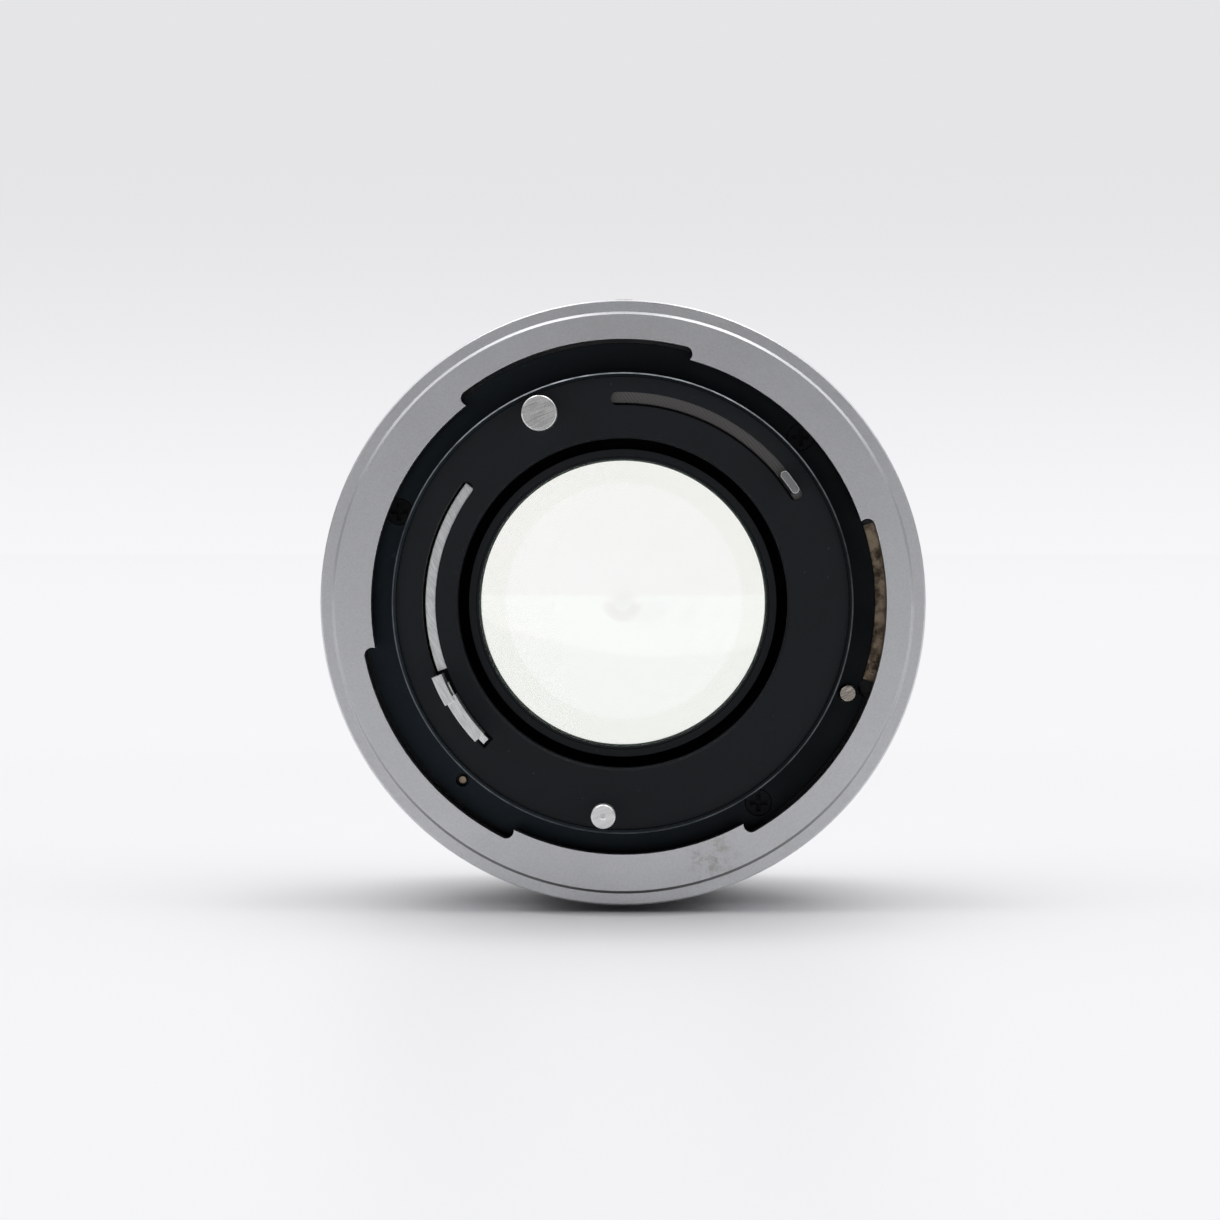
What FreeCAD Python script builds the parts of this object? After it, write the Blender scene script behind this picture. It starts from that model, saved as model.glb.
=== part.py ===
import FreeCAD, Part
import math
import os

import Sketcher

# A standard prime lens with a breech-lock mount, lying on its side.
# The optical axis is the Y axis. The rear, with the mount, faces -Y and the front element faces +Y.
# The origin is the centre of the flange's register face, the plane y = 0. Z is up.
# Angles are counter-clockwise as seen from behind, looking along +Y, with X to the right.

DIMENSIONS = (
    # mount flange and its spigot
    ("spigot_reach", 7.4, "spigot, from the register face to its rim"),
    ("spigot_wall", 0.4, "wall of the spigot beside the baffle"),
    ("baffle_sink", 0.4, "rear baffle, depth under the spigot's rim"),
    ("baffle_thick", 0.8, "rear baffle, plate"),
    ("baffle_seat_wid", 0.35, "step in the spigot that the baffle lies on"),
    ("lever_room", 1.2, "height between baffle and lever deck"),
    ("deck_thick", 0.7, "lever deck, plate"),
    ("flange_side_gap", 0.4, "mount flange, gap round it inside the breech ring"),
    ("flange_thick", 2.0, "mount flange, thickness"),
    ("leaf_room", 0.8, "mount flange, depth of its edge cut for the lock spring"),
    ("leaf_from", 342.2, "lock spring, first edge as an angle"),
    ("leaf_sweep", 37.0, "lock spring, angle that it covers"),
    ("leaf_wid", 2.0, "lock spring, radial width"),
    ("leaf_thick", 0.3, "lock spring, thickness"),
    ("leaf_rivet_at", 8.8, "rivet head on the lock spring, angle"),
    ("leaf_rivet_rad", 0.6, "rivet head on the lock spring, radius"),
    ("leaf_rivet_tall", 0.2, "rivet head on the lock spring, height"),
    ("leaf_screw_at", 344.7, "screw of the lock spring, angle"),
    ("leaf_screw_rad", 0.9, "screw of the lock spring, head radius"),
    ("leaf_head_tall", 0.3, "screw of the lock spring, head height"),
    ("leaf_shank_rad", 0.5, "screw of the lock spring, shank radius"),
    ("flange_screw_inset", 1.8, "flange screws, distance from the flange's edge"),
    ("flange_head_rad", 1.35, "flange screws, head radius"),
    ("flange_head_tall", 1.0, "flange screws, head height"),
    ("flange_shank_rad", 0.8, "flange screws, shank radius"),
    ("flange_shank_long", 4.0, "flange screws, shank length"),
    ("flange_screw_one", 43.0, "flange screws, first angle"),
    ("flange_screw_two", 158.0, "flange screws, second angle"),
    ("flange_screw_three", 304.0, "flange screws, third angle"),
    # breech ring
    ("ring_wall", 2.0, "breech ring, wall round the barrel's shoulder"),
    ("ring_edge", 1.35, "breech ring, width of the lower band round its rear face"),
    ("ring_step", 0.3, "breech ring, height of that raised face"),
    ("ring_slope", 0.3, "breech ring, width of the slope round that face"),
    ("ring_back", 5.0, "breech ring, rear face behind the register face"),
    ("ring_front", 5.5, "breech ring, front edge before the register face"),
    ("lug_room", 2.3, "space between the spigot and the lugs of the breech ring"),
    ("lug_thick", 2.0, "breech ring, thickness of its lugs"),
    ("cut_deep", 1.25, "breech ring, depth of the cut-outs between its lugs"),
    ("cut_corner_rad", 0.8, "breech ring, rounding in the corners of a cut-out"),
    ("cut_corner_at", 1.8, "angle from a cut-out's end to the middle of that rounding"),
    ("top_cut_from", 74.2, "upper cut-out, first angle"),
    ("top_cut_sweep", 54.6, "upper cut-out, angle that it covers"),
    ("low_cut_from", 190.0, "lower cut-out, first angle"),
    ("low_cut_sweep", 54.7, "lower cut-out, angle that it covers"),
    ("side_cut_from", 298.3, "side cut-out, first angle"),
    ("side_cut_sweep", 80.9, "side cut-out, angle that it covers"),
    ("camera_gap", 0.15, "breech ring, step from a cut-out to the bore in front of the lugs"),
    ("lip_gap", 0.75, "breech ring, distance of that bore's end from the flange's front"),
    ("edge_bevel", 0.3, "small bevel on turned edges"),
    ("cut_over", 1.0, "reach of a cut past the surface that it opens"),
    ("index_bead_rad", 1.0, "red index beads, radius"),
    ("index_bead_sink", 0.6, "red index beads, depth in their seats"),
    ("index_bead_proud", 0.25, "red index beads, height over the surface"),
    # rear baffle with its pins and slots
    ("baffle_room", 1.1, "gap between the rear cell and the baffle"),
    ("collar_wall", 0.4, "rear baffle, wall of the collar inside"),
    ("signal_slot_room", 0.35, "slot of the signal lever, room inside the tip"),
    ("signal_slot_from", 32.3, "slot of the signal lever, first angle"),
    ("signal_slot_sweep", 59.2, "slot of the signal lever, angle that it covers"),
    ("foot_room", 0.35, "slot of the automatic lever, room on both sides of the foot"),
    ("auto_slot_from", 143.7, "slot of the automatic lever, first angle"),
    ("auto_slot_sweep", 82.7, "slot of the automatic lever, angle that it covers"),
    ("speed_pin_rad", 1.83, "full aperture pin, radius"),
    ("speed_pin_inset", 2.12, "full aperture pin, distance from the spigot's inner wall"),
    ("speed_pin_at", 113.5, "full aperture pin, angle"),
    ("speed_pin_tall", 3.6, "full aperture pin, height over the baffle"),
    ("guide_pin_rad", 1.26, "guide pin, radius"),
    ("guide_pin_inset", 1.45, "guide pin, distance from the spigot's inner wall"),
    ("guide_pin_at", 264.9, "guide pin, angle"),
    ("guide_pin_tall", 2.6, "guide pin, height over the baffle"),
    ("guide_dimple_rad", 0.35, "dimple in the guide pin's end, radius"),
    ("rivet_rad", 0.9, "shank of both pins in the baffle, radius"),
    ("rivet_gap", 0.02, "clearance of a riveted shank"),
    # lever rings under the baffle
    ("lever_ring_thick", 0.8, "lever rings, thickness"),
    ("lever_gap", 0.1, "lever rings, clearance over the deck"),
    ("signal_side_gap", 0.3, "gap between the two lever rings"),
    ("signal_ring_wid", 2.25, "signal lever ring, radial width"),
    ("signal_ring_gap", 0.15, "signal lever ring, clearance in the spigot"),
    ("signal_tip_from", 33.5, "signal lever tip, first angle"),
    ("signal_tip_sweep", 4.9, "signal lever tip, angle between its round ends"),
    ("signal_tip_edge", 0.1, "signal lever tip, distance from the ring's inner edge"),
    ("signal_tip_thick", 0.84, "signal lever tip, thickness"),
    ("tip_tall", 5.0, "levers, height over the baffle"),
    ("signal_arm_at", 60.0, "signal lever arm, angle"),
    ("signal_arm_sweep", 6.0, "signal lever arm, angle that it covers"),
    ("signal_arm_thick", 0.9, "signal lever arm, thickness"),
    ("signal_arm_gap", 0.25, "signal lever arm, clearance in the flange's bore"),
    ("key_wid", 1.3, "radial key of the signal lever, width along the axis"),
    ("key_gap", 0.15, "radial key of the signal lever, clearance"),
    ("auto_ring_gap", 0.15, "automatic lever ring, clearance round the baffle's collar"),
    ("auto_ring_wid", 2.8, "automatic lever ring, radial width"),
    ("auto_bar_from", 142.5, "bright bar on the automatic lever ring, first angle"),
    ("auto_bar_sweep", 57.8, "bright bar on the automatic lever ring, angle that it covers"),
    ("auto_bar_wid", 1.05, "bright bar on the automatic lever ring, radial width"),
    ("auto_bar_tall", 0.2, "bright bar on the automatic lever ring, height"),
    ("auto_foot_from", 204.5, "foot of the automatic lever, first angle"),
    ("auto_foot_sweep", 20.9, "foot of the automatic lever, angle that it covers"),
    ("auto_foot_wid", 0.7, "foot of the automatic lever, radial width"),
    ("claw_gap", 0.35, "claw of the automatic lever, clearance over the baffle"),
    ("claw_step_at", 208.5, "claw of the automatic lever, angle of its step"),
    ("claw_long_sweep", 14.7, "claw of the automatic lever, angle of the lower part"),
    ("claw_shift", 0.25, "claw of the automatic lever, shift inwards from the foot"),
    ("claw_long_wid", 1.2, "claw of the automatic lever, lower part, radial width"),
    ("claw_short_sweep", 7.2, "claw of the automatic lever, angle of the upper part"),
    ("claw_step", 0.35, "claw of the automatic lever, step between its parts"),
    ("claw_short_wid", 1.08, "claw of the automatic lever, upper part, radial width"),
    ("claw_low_tall", 3.9, "claw of the automatic lever, height of the lower part"),
    ("auto_arm_at", 250.0, "arm of the automatic lever, angle"),
    ("auto_arm_sweep", 5.0, "arm of the automatic lever, angle that it covers"),
    ("auto_arm_edge", 0.05, "arm of the automatic lever, distance from the ring's edge"),
    ("auto_arm_thick", 0.9, "arm of the automatic lever, thickness"),
    ("auto_travel", 54.0, "automatic lever, angle from open to closed"),
    ("signal_travel", 52.0, "aperture ring and signal lever, angle from open to automatic"),
    ("slot_gap", 0.2, "clearance round an arm in its slot"),
    ("slot_gap_sweep", 1.5, "clearance at each end of an arm's slot, angle"),
    # sprung lock pin and locating pin in the flange
    ("lock_pin_rad", 0.9, "lock pin, radius"),
    ("lock_pin_inset", 1.8, "lock pin, distance from the flange's edge"),
    ("lock_pin_at", 337.9, "lock pin, angle"),
    ("lock_pin_proud", 1.2, "lock pin, height over the flange"),
    ("lock_pin_travel", 0.8, "lock pin, travel"),
    ("lock_collar_rad", 1.25, "lock pin, radius of its collar"),
    ("lock_collar_thick", 0.5, "lock pin, thickness of its collar"),
    ("pin_gap", 0.06, "clearance of a sliding pin"),
    ("locating_pin_rad", 0.375, "locating pin, radius"),
    ("locating_hole_rad", 0.7, "locating pin, hole in the flange"),
    ("locating_pin_inset", 2.0, "locating pin, distance from the flange's edge"),
    ("locating_pin_at", 227.9, "locating pin, angle"),
    ("locating_pin_sink", 0.15, "locating pin, depth under the flange's face"),
    ("edge_notch_at", 340.6, "notch in the flange's edge, angle"),
    ("edge_notch_rad", 1.0, "notch in the flange's edge, radius"),
    ("pin_well_deep", 3.3, "depth of the pins' wells in the main barrel"),
    # main barrel
    ("shoulder_step", 1.4, "main barrel, height of the shoulder inside the breech ring"),
    ("shoulder_inset", 0.9, "main barrel, distance of that shoulder's end from the breech ring's front"),
    ("journal_step", 1.0, "main barrel, height of the aperture ring's journal over the helicoid's"),
    ("deck_ledge", 0.4, "ledge in the flange that carries the lever deck"),
    ("arm_bore_step", 0.2, "main barrel, narrow bore, distance of its end from the breech ring's front"),
    ("barrel_gap", 0.6, "main barrel, gap round the inner barrel"),
    ("barrel_wall", 2.0, "main barrel, wall under the focusing helicoid"),
    ("web_gap", 0.4, "main barrel, gap to the web of the focusing helicoid"),
    ("run_gap", 0.1, "radial clearance of a turning ring"),
    ("face_gap", 0.3, "clearance between the faces of two turning rings"),
    # aperture ring
    ("aperture_ring_long", 8.5, "aperture ring, length"),
    ("aperture_wall", 2.3, "aperture ring, wall of its number band"),
    ("aperture_grip_tall", 0.8, "aperture ring, height of its grip over the number band"),
    ("aperture_grip_long", 4.2, "aperture ring, length of its grip"),
    ("aperture_flutes", 30, "aperture ring, grooves in its grip"),
    ("aperture_flute_rad", 1.3, "aperture ring, radius of a groove"),
    ("aperture_flute_deep", 0.55, "aperture ring, depth of a groove"),
    ("click_ball_rad", 0.75, "click ball, radius"),
    ("click_at", 5.2, "click ball, distance from the rear edge of the aperture ring"),
    ("click_proud", 0.35, "click ball, height over the journal"),
    ("click_groove_gap", 0.12, "click ball, clearance in the ring's groove"),
    ("click_stops", 17, "click notches, one for each half stop"),
    ("click_notch_rad", 0.45, "click notches, radius"),
    ("click_notch_deep", 0.3, "click notches, depth"),
    ("lock_button_rad", 1.6, "automatic lock button, radius"),
    ("lock_button_proud", 0.7, "automatic lock button, height over the ring"),
    ("lock_button_travel", 0.6, "automatic lock button, travel"),
    ("lock_button_at", 308.0, "automatic lock button, angle from the top"),
    ("lock_button_wall", 1.1, "automatic lock button, wall under its seat"),
    # fixed scale ring
    ("scale_ring_long", 4.4, "fixed scale ring, length"),
    ("scale_ring_rise", 0.6, "fixed scale ring, rise from its rear to its front"),
    ("seat_gap", 0.03, "clearance of a fixed ring on its seat"),
    ("set_screw_rad", 0.8, "set screws, radius"),
    ("set_screw_turn", 46.0, "set screws, angle from the index to the first"),
    # focusing ring and helicoid
    ("focus_long", 20.7, "focusing ring, length"),
    ("helicoid_long", 19.0, "focusing helicoid, length"),
    ("sleeve_long", 11.1, "focusing helicoid, length on the main barrel"),
    ("web_thick", 1.0, "focusing helicoid, web before the main barrel"),
    ("thread_wall", 2.35, "focusing helicoid, wall of the threaded part"),
    ("thread_gap", 0.15, "clearance in the focusing thread"),
    ("sleeve_wall", 1.9, "focusing helicoid, wall on the main barrel"),
    ("focus_wall", 1.87, "focusing ring, wall under the grip"),
    ("band_proud", 0.7, "focusing ring, height of its scale band"),
    ("focus_band_long", 6.0, "focusing ring, length of its scale band"),
    ("focus_lip_long", 1.5, "focusing ring, length of its front lip"),
    ("grip_thick", 1.47, "rubber grip, thickness at a land"),
    ("grip_lands", 15, "rubber grip, raised lands"),
    ("grip_valley", 12.5, "rubber grip, angle of a valley between two lands"),
    ("grip_deep", 0.9, "rubber grip, depth of a valley"),
    ("focus_travel", 7.7, "inner barrel, travel from infinity to the closest distance"),
    ("snap_ring_at", 4.7, "snap ring, distance from the rear of the helicoid"),
    ("snap_ring_wid", 0.8, "snap ring, width"),
    ("snap_ring_deep", 0.6, "snap ring, depth in the main barrel"),
    ("snap_ring_proud", 0.6, "snap ring, height over the main barrel"),
    ("snap_gap", 0.1, "snap ring, clearance in the helicoid"),
    # inner barrel and front barrel
    ("carrier_gap", 1.2, "gap between the signal lever's key and the inner barrel"),
    ("carrier_wall", 2.4, "inner barrel, wall"),
    ("carrier_lip_wid", 2.2, "inner barrel, radial width of its front lip"),
    ("carrier_lip_thick", 1.2, "inner barrel, thickness of its front lip"),
    ("key_slot_deep", 1.1, "inner barrel, depth of the two guide slots"),
    ("guide_key_wid", 3.0, "guide keys, width"),
    ("guide_key_long", 9.0, "guide keys, length"),
    ("guide_key_gap", 0.1, "guide keys, clearance in their slots"),
    ("skirt_side_gap", 0.4, "front barrel, gap round the helicoid"),
    ("skirt_wall", 1.3, "front barrel, wall of its skirt"),
    ("skirt_gap", 0.4, "front barrel, clearance before the helicoid's web"),
    ("front_web_thick", 1.2, "front barrel, web that it is screwed on by"),
    ("filter_wall", 1.5, "front barrel, wall round the filter thread"),
    ("filter_long", 4.8, "filter thread, length"),
    ("filter_land", 2.7, "front barrel, distance from its web to the thread"),
    ("filter_step", 0.5, "front barrel, step under the filter thread"),
    ("rim_wid", 0.3, "front barrel, height of its rim"),
    ("rim_long", 1.6, "front barrel, length of its rim"),
    ("hood_groove_deep", 0.5, "front barrel, depth of the hood groove"),
    ("hood_groove_wid", 1.8, "front barrel, width of the hood groove"),
    ("front_screw_rad", 0.7, "front barrel screws, shank radius"),
    ("front_head_rad", 0.85, "front barrel screws, head radius"),
    ("front_head_tall", 0.5, "front barrel screws, head height"),
    ("front_shank_long", 1.6, "front barrel screws, shank length"),
    ("front_screw_inset", 1.0, "front barrel screws, distance from the edge of the lip"),
    ("bezel_thick", 1.5, "bare front ring, thickness at its rim"),
    ("bezel_edge", 1.4, "bare front ring, distance from the edge of the glass"),
    ("bezel_slope", 1.3, "bare front ring, fall of its face towards the glass"),
    ("cell_gap", 0.1, "clearance of a lens cell in its barrel"),
    ("cell_lip_wid", 2.4, "front cell, radial width of its lip"),
    ("cell_lip_thick", 0.8, "front cell, thickness of its lip"),
    # glass, from the front: vertex distances, radii of curvature, edge radii
    ("glass_one_thick", 4.7, "first element, thickness"),
    ("front_cell_wall", 2.35, "front cell, wall round the first element"),
    ("glass_one_front_deep", 4.45, "first element, depth of the front curve"),
    ("glass_one_back_deep", 0.63, "first element, depth of the rear curve"),
    ("air_one", 0.2, "air between first and second element"),
    ("glass_two_thick", 5.2, "second element, thickness"),
    ("glass_two_step", 2.2, "second element, smaller than the first in radius by"),
    ("glass_two_front_deep", 7.36, "second element, depth of the front curve"),
    ("glass_two_back_deep", 3.09, "second element, depth of the rear curve"),
    ("air_two", 1.8, "air between second and third element"),
    ("glass_three_thick", 1.6, "third element, thickness"),
    ("glass_three_step", 1.8, "third element, smaller than the second in radius by"),
    ("glass_three_front_deep", 1.52, "third element, depth of the front curve"),
    ("glass_three_hollow_deep", 5.9, "third element, depth of the hollow"),
    ("glass_three_rim", 2.9, "third element, rim round the hollow"),
    ("rear_vertex", 4.0, "rear element, rear vertex behind the register face"),
    ("glass_seven_thick", 3.2, "seventh element, thickness"),
    ("glass_seven_rad", 15.2, "seventh element, edge radius"),
    ("glass_seven_front_deep", 1.46, "seventh element, depth of the front curve"),
    ("glass_seven_back_deep", 0.72, "seventh element, depth of the rear curve"),
    ("air_six", 0.2, "air between sixth and seventh element"),
    ("glass_six_thick", 3.9, "sixth element, thickness"),
    ("glass_six_step", 0.2, "sixth element, smaller than the seventh in radius by"),
    ("glass_six_front_deep", 1.03, "sixth element, depth of the front curve"),
    ("glass_six_back_deep", 3.49, "sixth element, depth of the rear curve"),
    ("air_five", 0.2, "air between fifth and sixth element"),
    ("glass_five_thick", 7.3, "fifth element, thickness"),
    ("glass_five_step", 0.7, "fifth element, smaller than the sixth in radius by"),
    ("cement_deep", 1.73, "cemented surface, depth of its curve"),
    ("cement_gap", 0.01, "cemented surface, thickness of the cement"),
    ("glass_five_back_deep", 4.19, "fifth element, depth of the rear curve"),
    ("glass_four_thick", 1.5, "fourth element, thickness"),
    ("glass_four_step", 0.8, "fourth element, smaller than the fifth in radius by"),
    ("glass_four_hollow_deep", 5.1, "fourth element, depth of the hollow"),
    ("glass_four_rim", 1.7, "fourth element, rim round the hollow"),
    ("glass_gap", 0.05, "clearance round the glass"),
    # cells and rings that hold the glass
    ("retainer_wid", 0.9, "front retaining ring, radial width"),
    ("retainer_long", 4.0, "front retaining ring, length"),
    ("spacer_wall", 0.7, "spacer rings, wall"),
    ("rear_spacer_wall", 0.24, "spacer ring before the seventh element, wall"),
    ("glass_two_ledge", 1.0, "ledge under the second element, width"),
    ("glass_three_ledge", 0.5, "ledge before the third element, width"),
    ("glass_three_ledge_thick", 0.25, "ledge before the third element, thickness"),
    ("middle_retainer_thick", 0.45, "retaining ring behind the third element, thickness"),
    ("iris_edge", 0.6, "iris, hole in its housing, larger than the third element's hollow by"),
    ("rear_cell_wall", 0.75, "rear cell, wall round the seventh element"),
    ("neck_wall", 1.35, "rear cell, wall round the fourth element"),
    ("rear_cell_end", 0.9, "rear cell, length behind the rear vertex"),
    ("rear_lip_wid", 0.9, "rear cell, radial width of its front lip"),
    ("rear_lip_thick", 0.38, "rear cell, thickness of its front lip"),
    ("rear_flange_thick", 1.0, "rear cell, thickness of its flange"),
    ("rear_retainer_wid", 0.24, "rear retaining ring, radial width"),
    # iris
    ("blade_count", 8, "iris blades"),
    ("fork_room", 1.0, "gap between the fork and the wall of the iris housing"),
    ("housing_wall", 0.5, "iris housing, wall"),
    ("housing_floor", 0.6, "iris housing, floor"),
    ("flange_room", 0.95, "gap between the cam keeper and the rear cell's flange"),
    ("blade_thick", 0.1, "iris blades, thickness"),
    ("blade_pitch", 0.2, "iris blades, distance between two levels"),
    ("blade_lap", 0.05, "iris blades, reach of the inner edge into the hole"),
    ("blade_out_back", 1.3, "iris blades, outer edge inside the pivots"),
    ("blade_sweep", 140.0, "iris blades, angle from pivot to tip"),
    ("blade_tail", 9.8, "iris blades, angle of the tail behind the pivot"),
    ("blade_tail_back", 0.2, "iris blades, corner of the tail inside the pivots"),
    ("blade_root", 0.7, "iris blades, material outside the pivots"),
    ("blade_root_sweep", 3.0, "iris blades, angle of the root before the pivot"),
    ("pivot_inset", 2.0, "iris blades, distance of the pivots from the housing's wall"),
    ("pivot_rad", 0.4, "iris blades, radius of the pivot stud"),
    ("stud_rad", 0.35, "iris blades, radius of the drive stud"),
    ("stud_arm", 2.57, "iris blades, distance from pivot to drive stud"),
    ("stud_lean", 110.0, "iris blades, direction of the drive stud from the pivot, clockwise"),
    ("blade_travel", 36.0, "iris blades, angle from open to closed"),
    ("stud_gap", 0.1, "clearance of a stud in its hole or slot"),
    ("stud_deep", 0.6, "depth of a drive stud in the cam ring"),
    ("pivot_deep", 0.4, "depth of a pivot stud in the floor"),
    ("cam_side_gap", 0.2, "cam ring, gap inside the housing"),
    ("cam_bore_gap", 0.3, "cam ring, gap round the rear cell"),
    ("cam_thick", 0.9, "cam ring, thickness"),
    ("cam_gap", 0.15, "cam ring, clearance to the last blade"),
    ("lip_blade_gap", 0.28, "gap between the rear cell's lip and the last blade"),
    ("prong_sweep", 3.5, "prongs of the cam ring, angle of each"),
    ("prong_gap_sweep", 0.4, "prongs of the cam ring, clearance beside the arm, angle"),
    ("prong_hold", 1.5, "prongs of the cam ring, hold on the arm at the closest distance"),
    ("arm_end_gap", 0.45, "arm of the automatic lever, clearance behind the cam ring"),
    ("keeper_wid", 0.6, "cam keeper, radial width"),
    ("keeper_thick", 0.45, "cam keeper, thickness"),
    # small springs
    ("wire_rad", 0.12, "springs, radius of the wire"),
    ("lock_spring_rad", 0.9, "lock pin spring, radius to the wire's centre"),
    ("lock_spring_pitch", 0.55, "lock pin spring, pitch"),
    ("click_spring_rad", 0.5, "click spring, radius to the wire's centre"),
    ("click_spring_pitch", 0.42, "click spring, pitch"),
)

document = FreeCAD.newDocument("StandardPrimeLens")
sheet = document.addObject("Spreadsheet::Sheet", "Dims")
for row, (alias, value, words) in enumerate(DIMENSIONS, start=1):
    sheet.set(f"A{row}", words)
    sheet.set(f"B{row}", str(value))
    sheet.setAlias(f"B{row}", alias)
document.recompute()

AXIS_BACK = FreeCAD.Vector(0, -1, 0)
AXIS_FRONT = FreeCAD.Vector(0, 1, 0)
parts = {}


def text_of(value):
    """The words of a formula, from a Size or from a plain number."""
    return value.text if isinstance(value, Size) else str(value)


class Size:
    """A length or an angle, kept as a formula of the spreadsheet's cells."""

    def __init__(self, text):
        self.text = text

    def __add__(self, other):
        return Size(f"({self.text} + {text_of(other)})")

    def __sub__(self, other):
        return Size(f"({self.text} - {text_of(other)})")

    def __mul__(self, other):
        return Size(f"({self.text} * {text_of(other)})")

    def __truediv__(self, other):
        return Size(f"({self.text} / {text_of(other)})")

    def __neg__(self):
        return Size(f"(-{self.text})")

    def __radd__(self, other):
        return Size(f"({text_of(other)} + {self.text})")

    def __rmul__(self, other):
        return Size(f"({text_of(other)} * {self.text})")

    @property
    def number(self):
        return float(sheet.evalExpression(self.text))


class Cells:
    """Reads a cell of the spreadsheet by its alias."""

    def __getattr__(self, alias):
        return Size(f"Dims.{alias}")


dim = Cells()
ZERO = Size("0")


def cos(angle):
    return Size(f"cos({angle.text})")


def sin(angle):
    return Size(f"sin({angle.text})")


def root(value):
    return Size(f"sqrt({value.text})")


def sag(curve, height):
    """Depth of a sphere of radius curve at this height from its axis."""
    return curve - root(curve * curve - height * height)


def sketch_on(body, role, name, lift=None, turn=None):
    """A sketch on one of the body's own planes, lifted along its normal and turned about the axis."""
    plane = next(item for item in body.Origin.OriginFeatures if item.Role == role)
    sketch = body.newObject("Sketcher::SketchObject", name)
    sketch.AttachmentSupport = [(plane, "")]
    sketch.MapMode = "FlatFace"
    if turn is not None:
        sketch.AttachmentOffset = FreeCAD.Placement(FreeCAD.Vector(), FreeCAD.Rotation(AXIS_BACK, 1.0))
        sketch.setExpression("AttachmentOffset.Rotation.Angle", turn.text)
        sketch.setExpression("AttachmentOffset.Base.x", (-(lift * sin(turn))).text)
        sketch.setExpression("AttachmentOffset.Base.z", (lift * cos(turn)).text)
        sketch.recompute()
    elif lift is not None:
        sketch.setExpression("AttachmentOffset.Base.z", lift.text)
        sketch.recompute()
    return sketch


def bind(sketch, kind, items, size):
    """One dimension of a sketch, bound to a formula."""
    index = sketch.addConstraint(Sketcher.Constraint(kind, *items, size.number))
    name = f"size{index}"
    sketch.renameConstraint(index, name)
    sketch.setExpression(f"Constraints.{name}", size.text)


def join(sketch, first, count):
    """Ties the end of each edge to the start of the next, round a closed outline."""
    for step in range(count):
        here = first + step
        there = first + (step + 1) % count
        sketch.addConstraint(Sketcher.Constraint("Coincident", here, 2, there, 1))


def arc_between(start, end, centre_y):
    """The shorter arc from start to end about (0, centre_y), as an edge that runs either way."""
    middle = ((start[0] + end[0]) / 2, (start[1] + end[1]) / 2 - centre_y)
    radius = math.hypot(start[0], start[1] - centre_y)
    scale = radius / math.hypot(*middle)
    through = FreeCAD.Vector(middle[0] * scale, middle[1] * scale + centre_y, 0)
    return Part.Arc(FreeCAD.Vector(*start, 0), through, FreeCAD.Vector(*end, 0))


def outline(sketch, points, domes=()):
    """A closed outline. Each corner has its own pair of sizes, and a dome is centred on the Y axis.

    domes names the edges, by their first corner, that are arcs. An arc runs counter-clockwise, so
    an arc edge may be turned round, and its ends are swapped with it.
    """
    numbers = [(across.number, along.number) for across, along in points]
    count = len(points)
    first = sketch.GeometryCount
    ends = []
    for index, start in enumerate(numbers):
        end = numbers[(index + 1) % count]
        if index in domes:
            centre_y = (end[0] ** 2 + end[1] ** 2 - start[0] ** 2 - start[1] ** 2)
            centre_y = centre_y / (2 * (end[1] - start[1]))
            edge = arc_between(start, end, centre_y)
            sketch.addGeometry(edge, False)
            begin = sketch.getPoint(first + index, 1)
            kept = math.hypot(begin.x - start[0], begin.y - start[1]) < 1e-6
            ends.append((1, 2) if kept else (2, 1))
        else:
            sketch.addGeometry(Part.LineSegment(FreeCAD.Vector(*start, 0), FreeCAD.Vector(*end, 0)), False)
            ends.append((1, 2))
    for index in range(count):
        following = (index + 1) % count
        tie = ("Coincident", first + index, ends[index][1], first + following, ends[following][0])
        sketch.addConstraint(Sketcher.Constraint(*tie))
    for index, (across, along) in enumerate(points):
        bind(sketch, "DistanceX", (-1, 1, first + index, ends[index][0]), across)
        bind(sketch, "DistanceY", (-1, 1, first + index, ends[index][0]), along)
    for index in domes:
        sketch.addConstraint(Sketcher.Constraint("PointOnObject", first + index, 3, -2))


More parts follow.
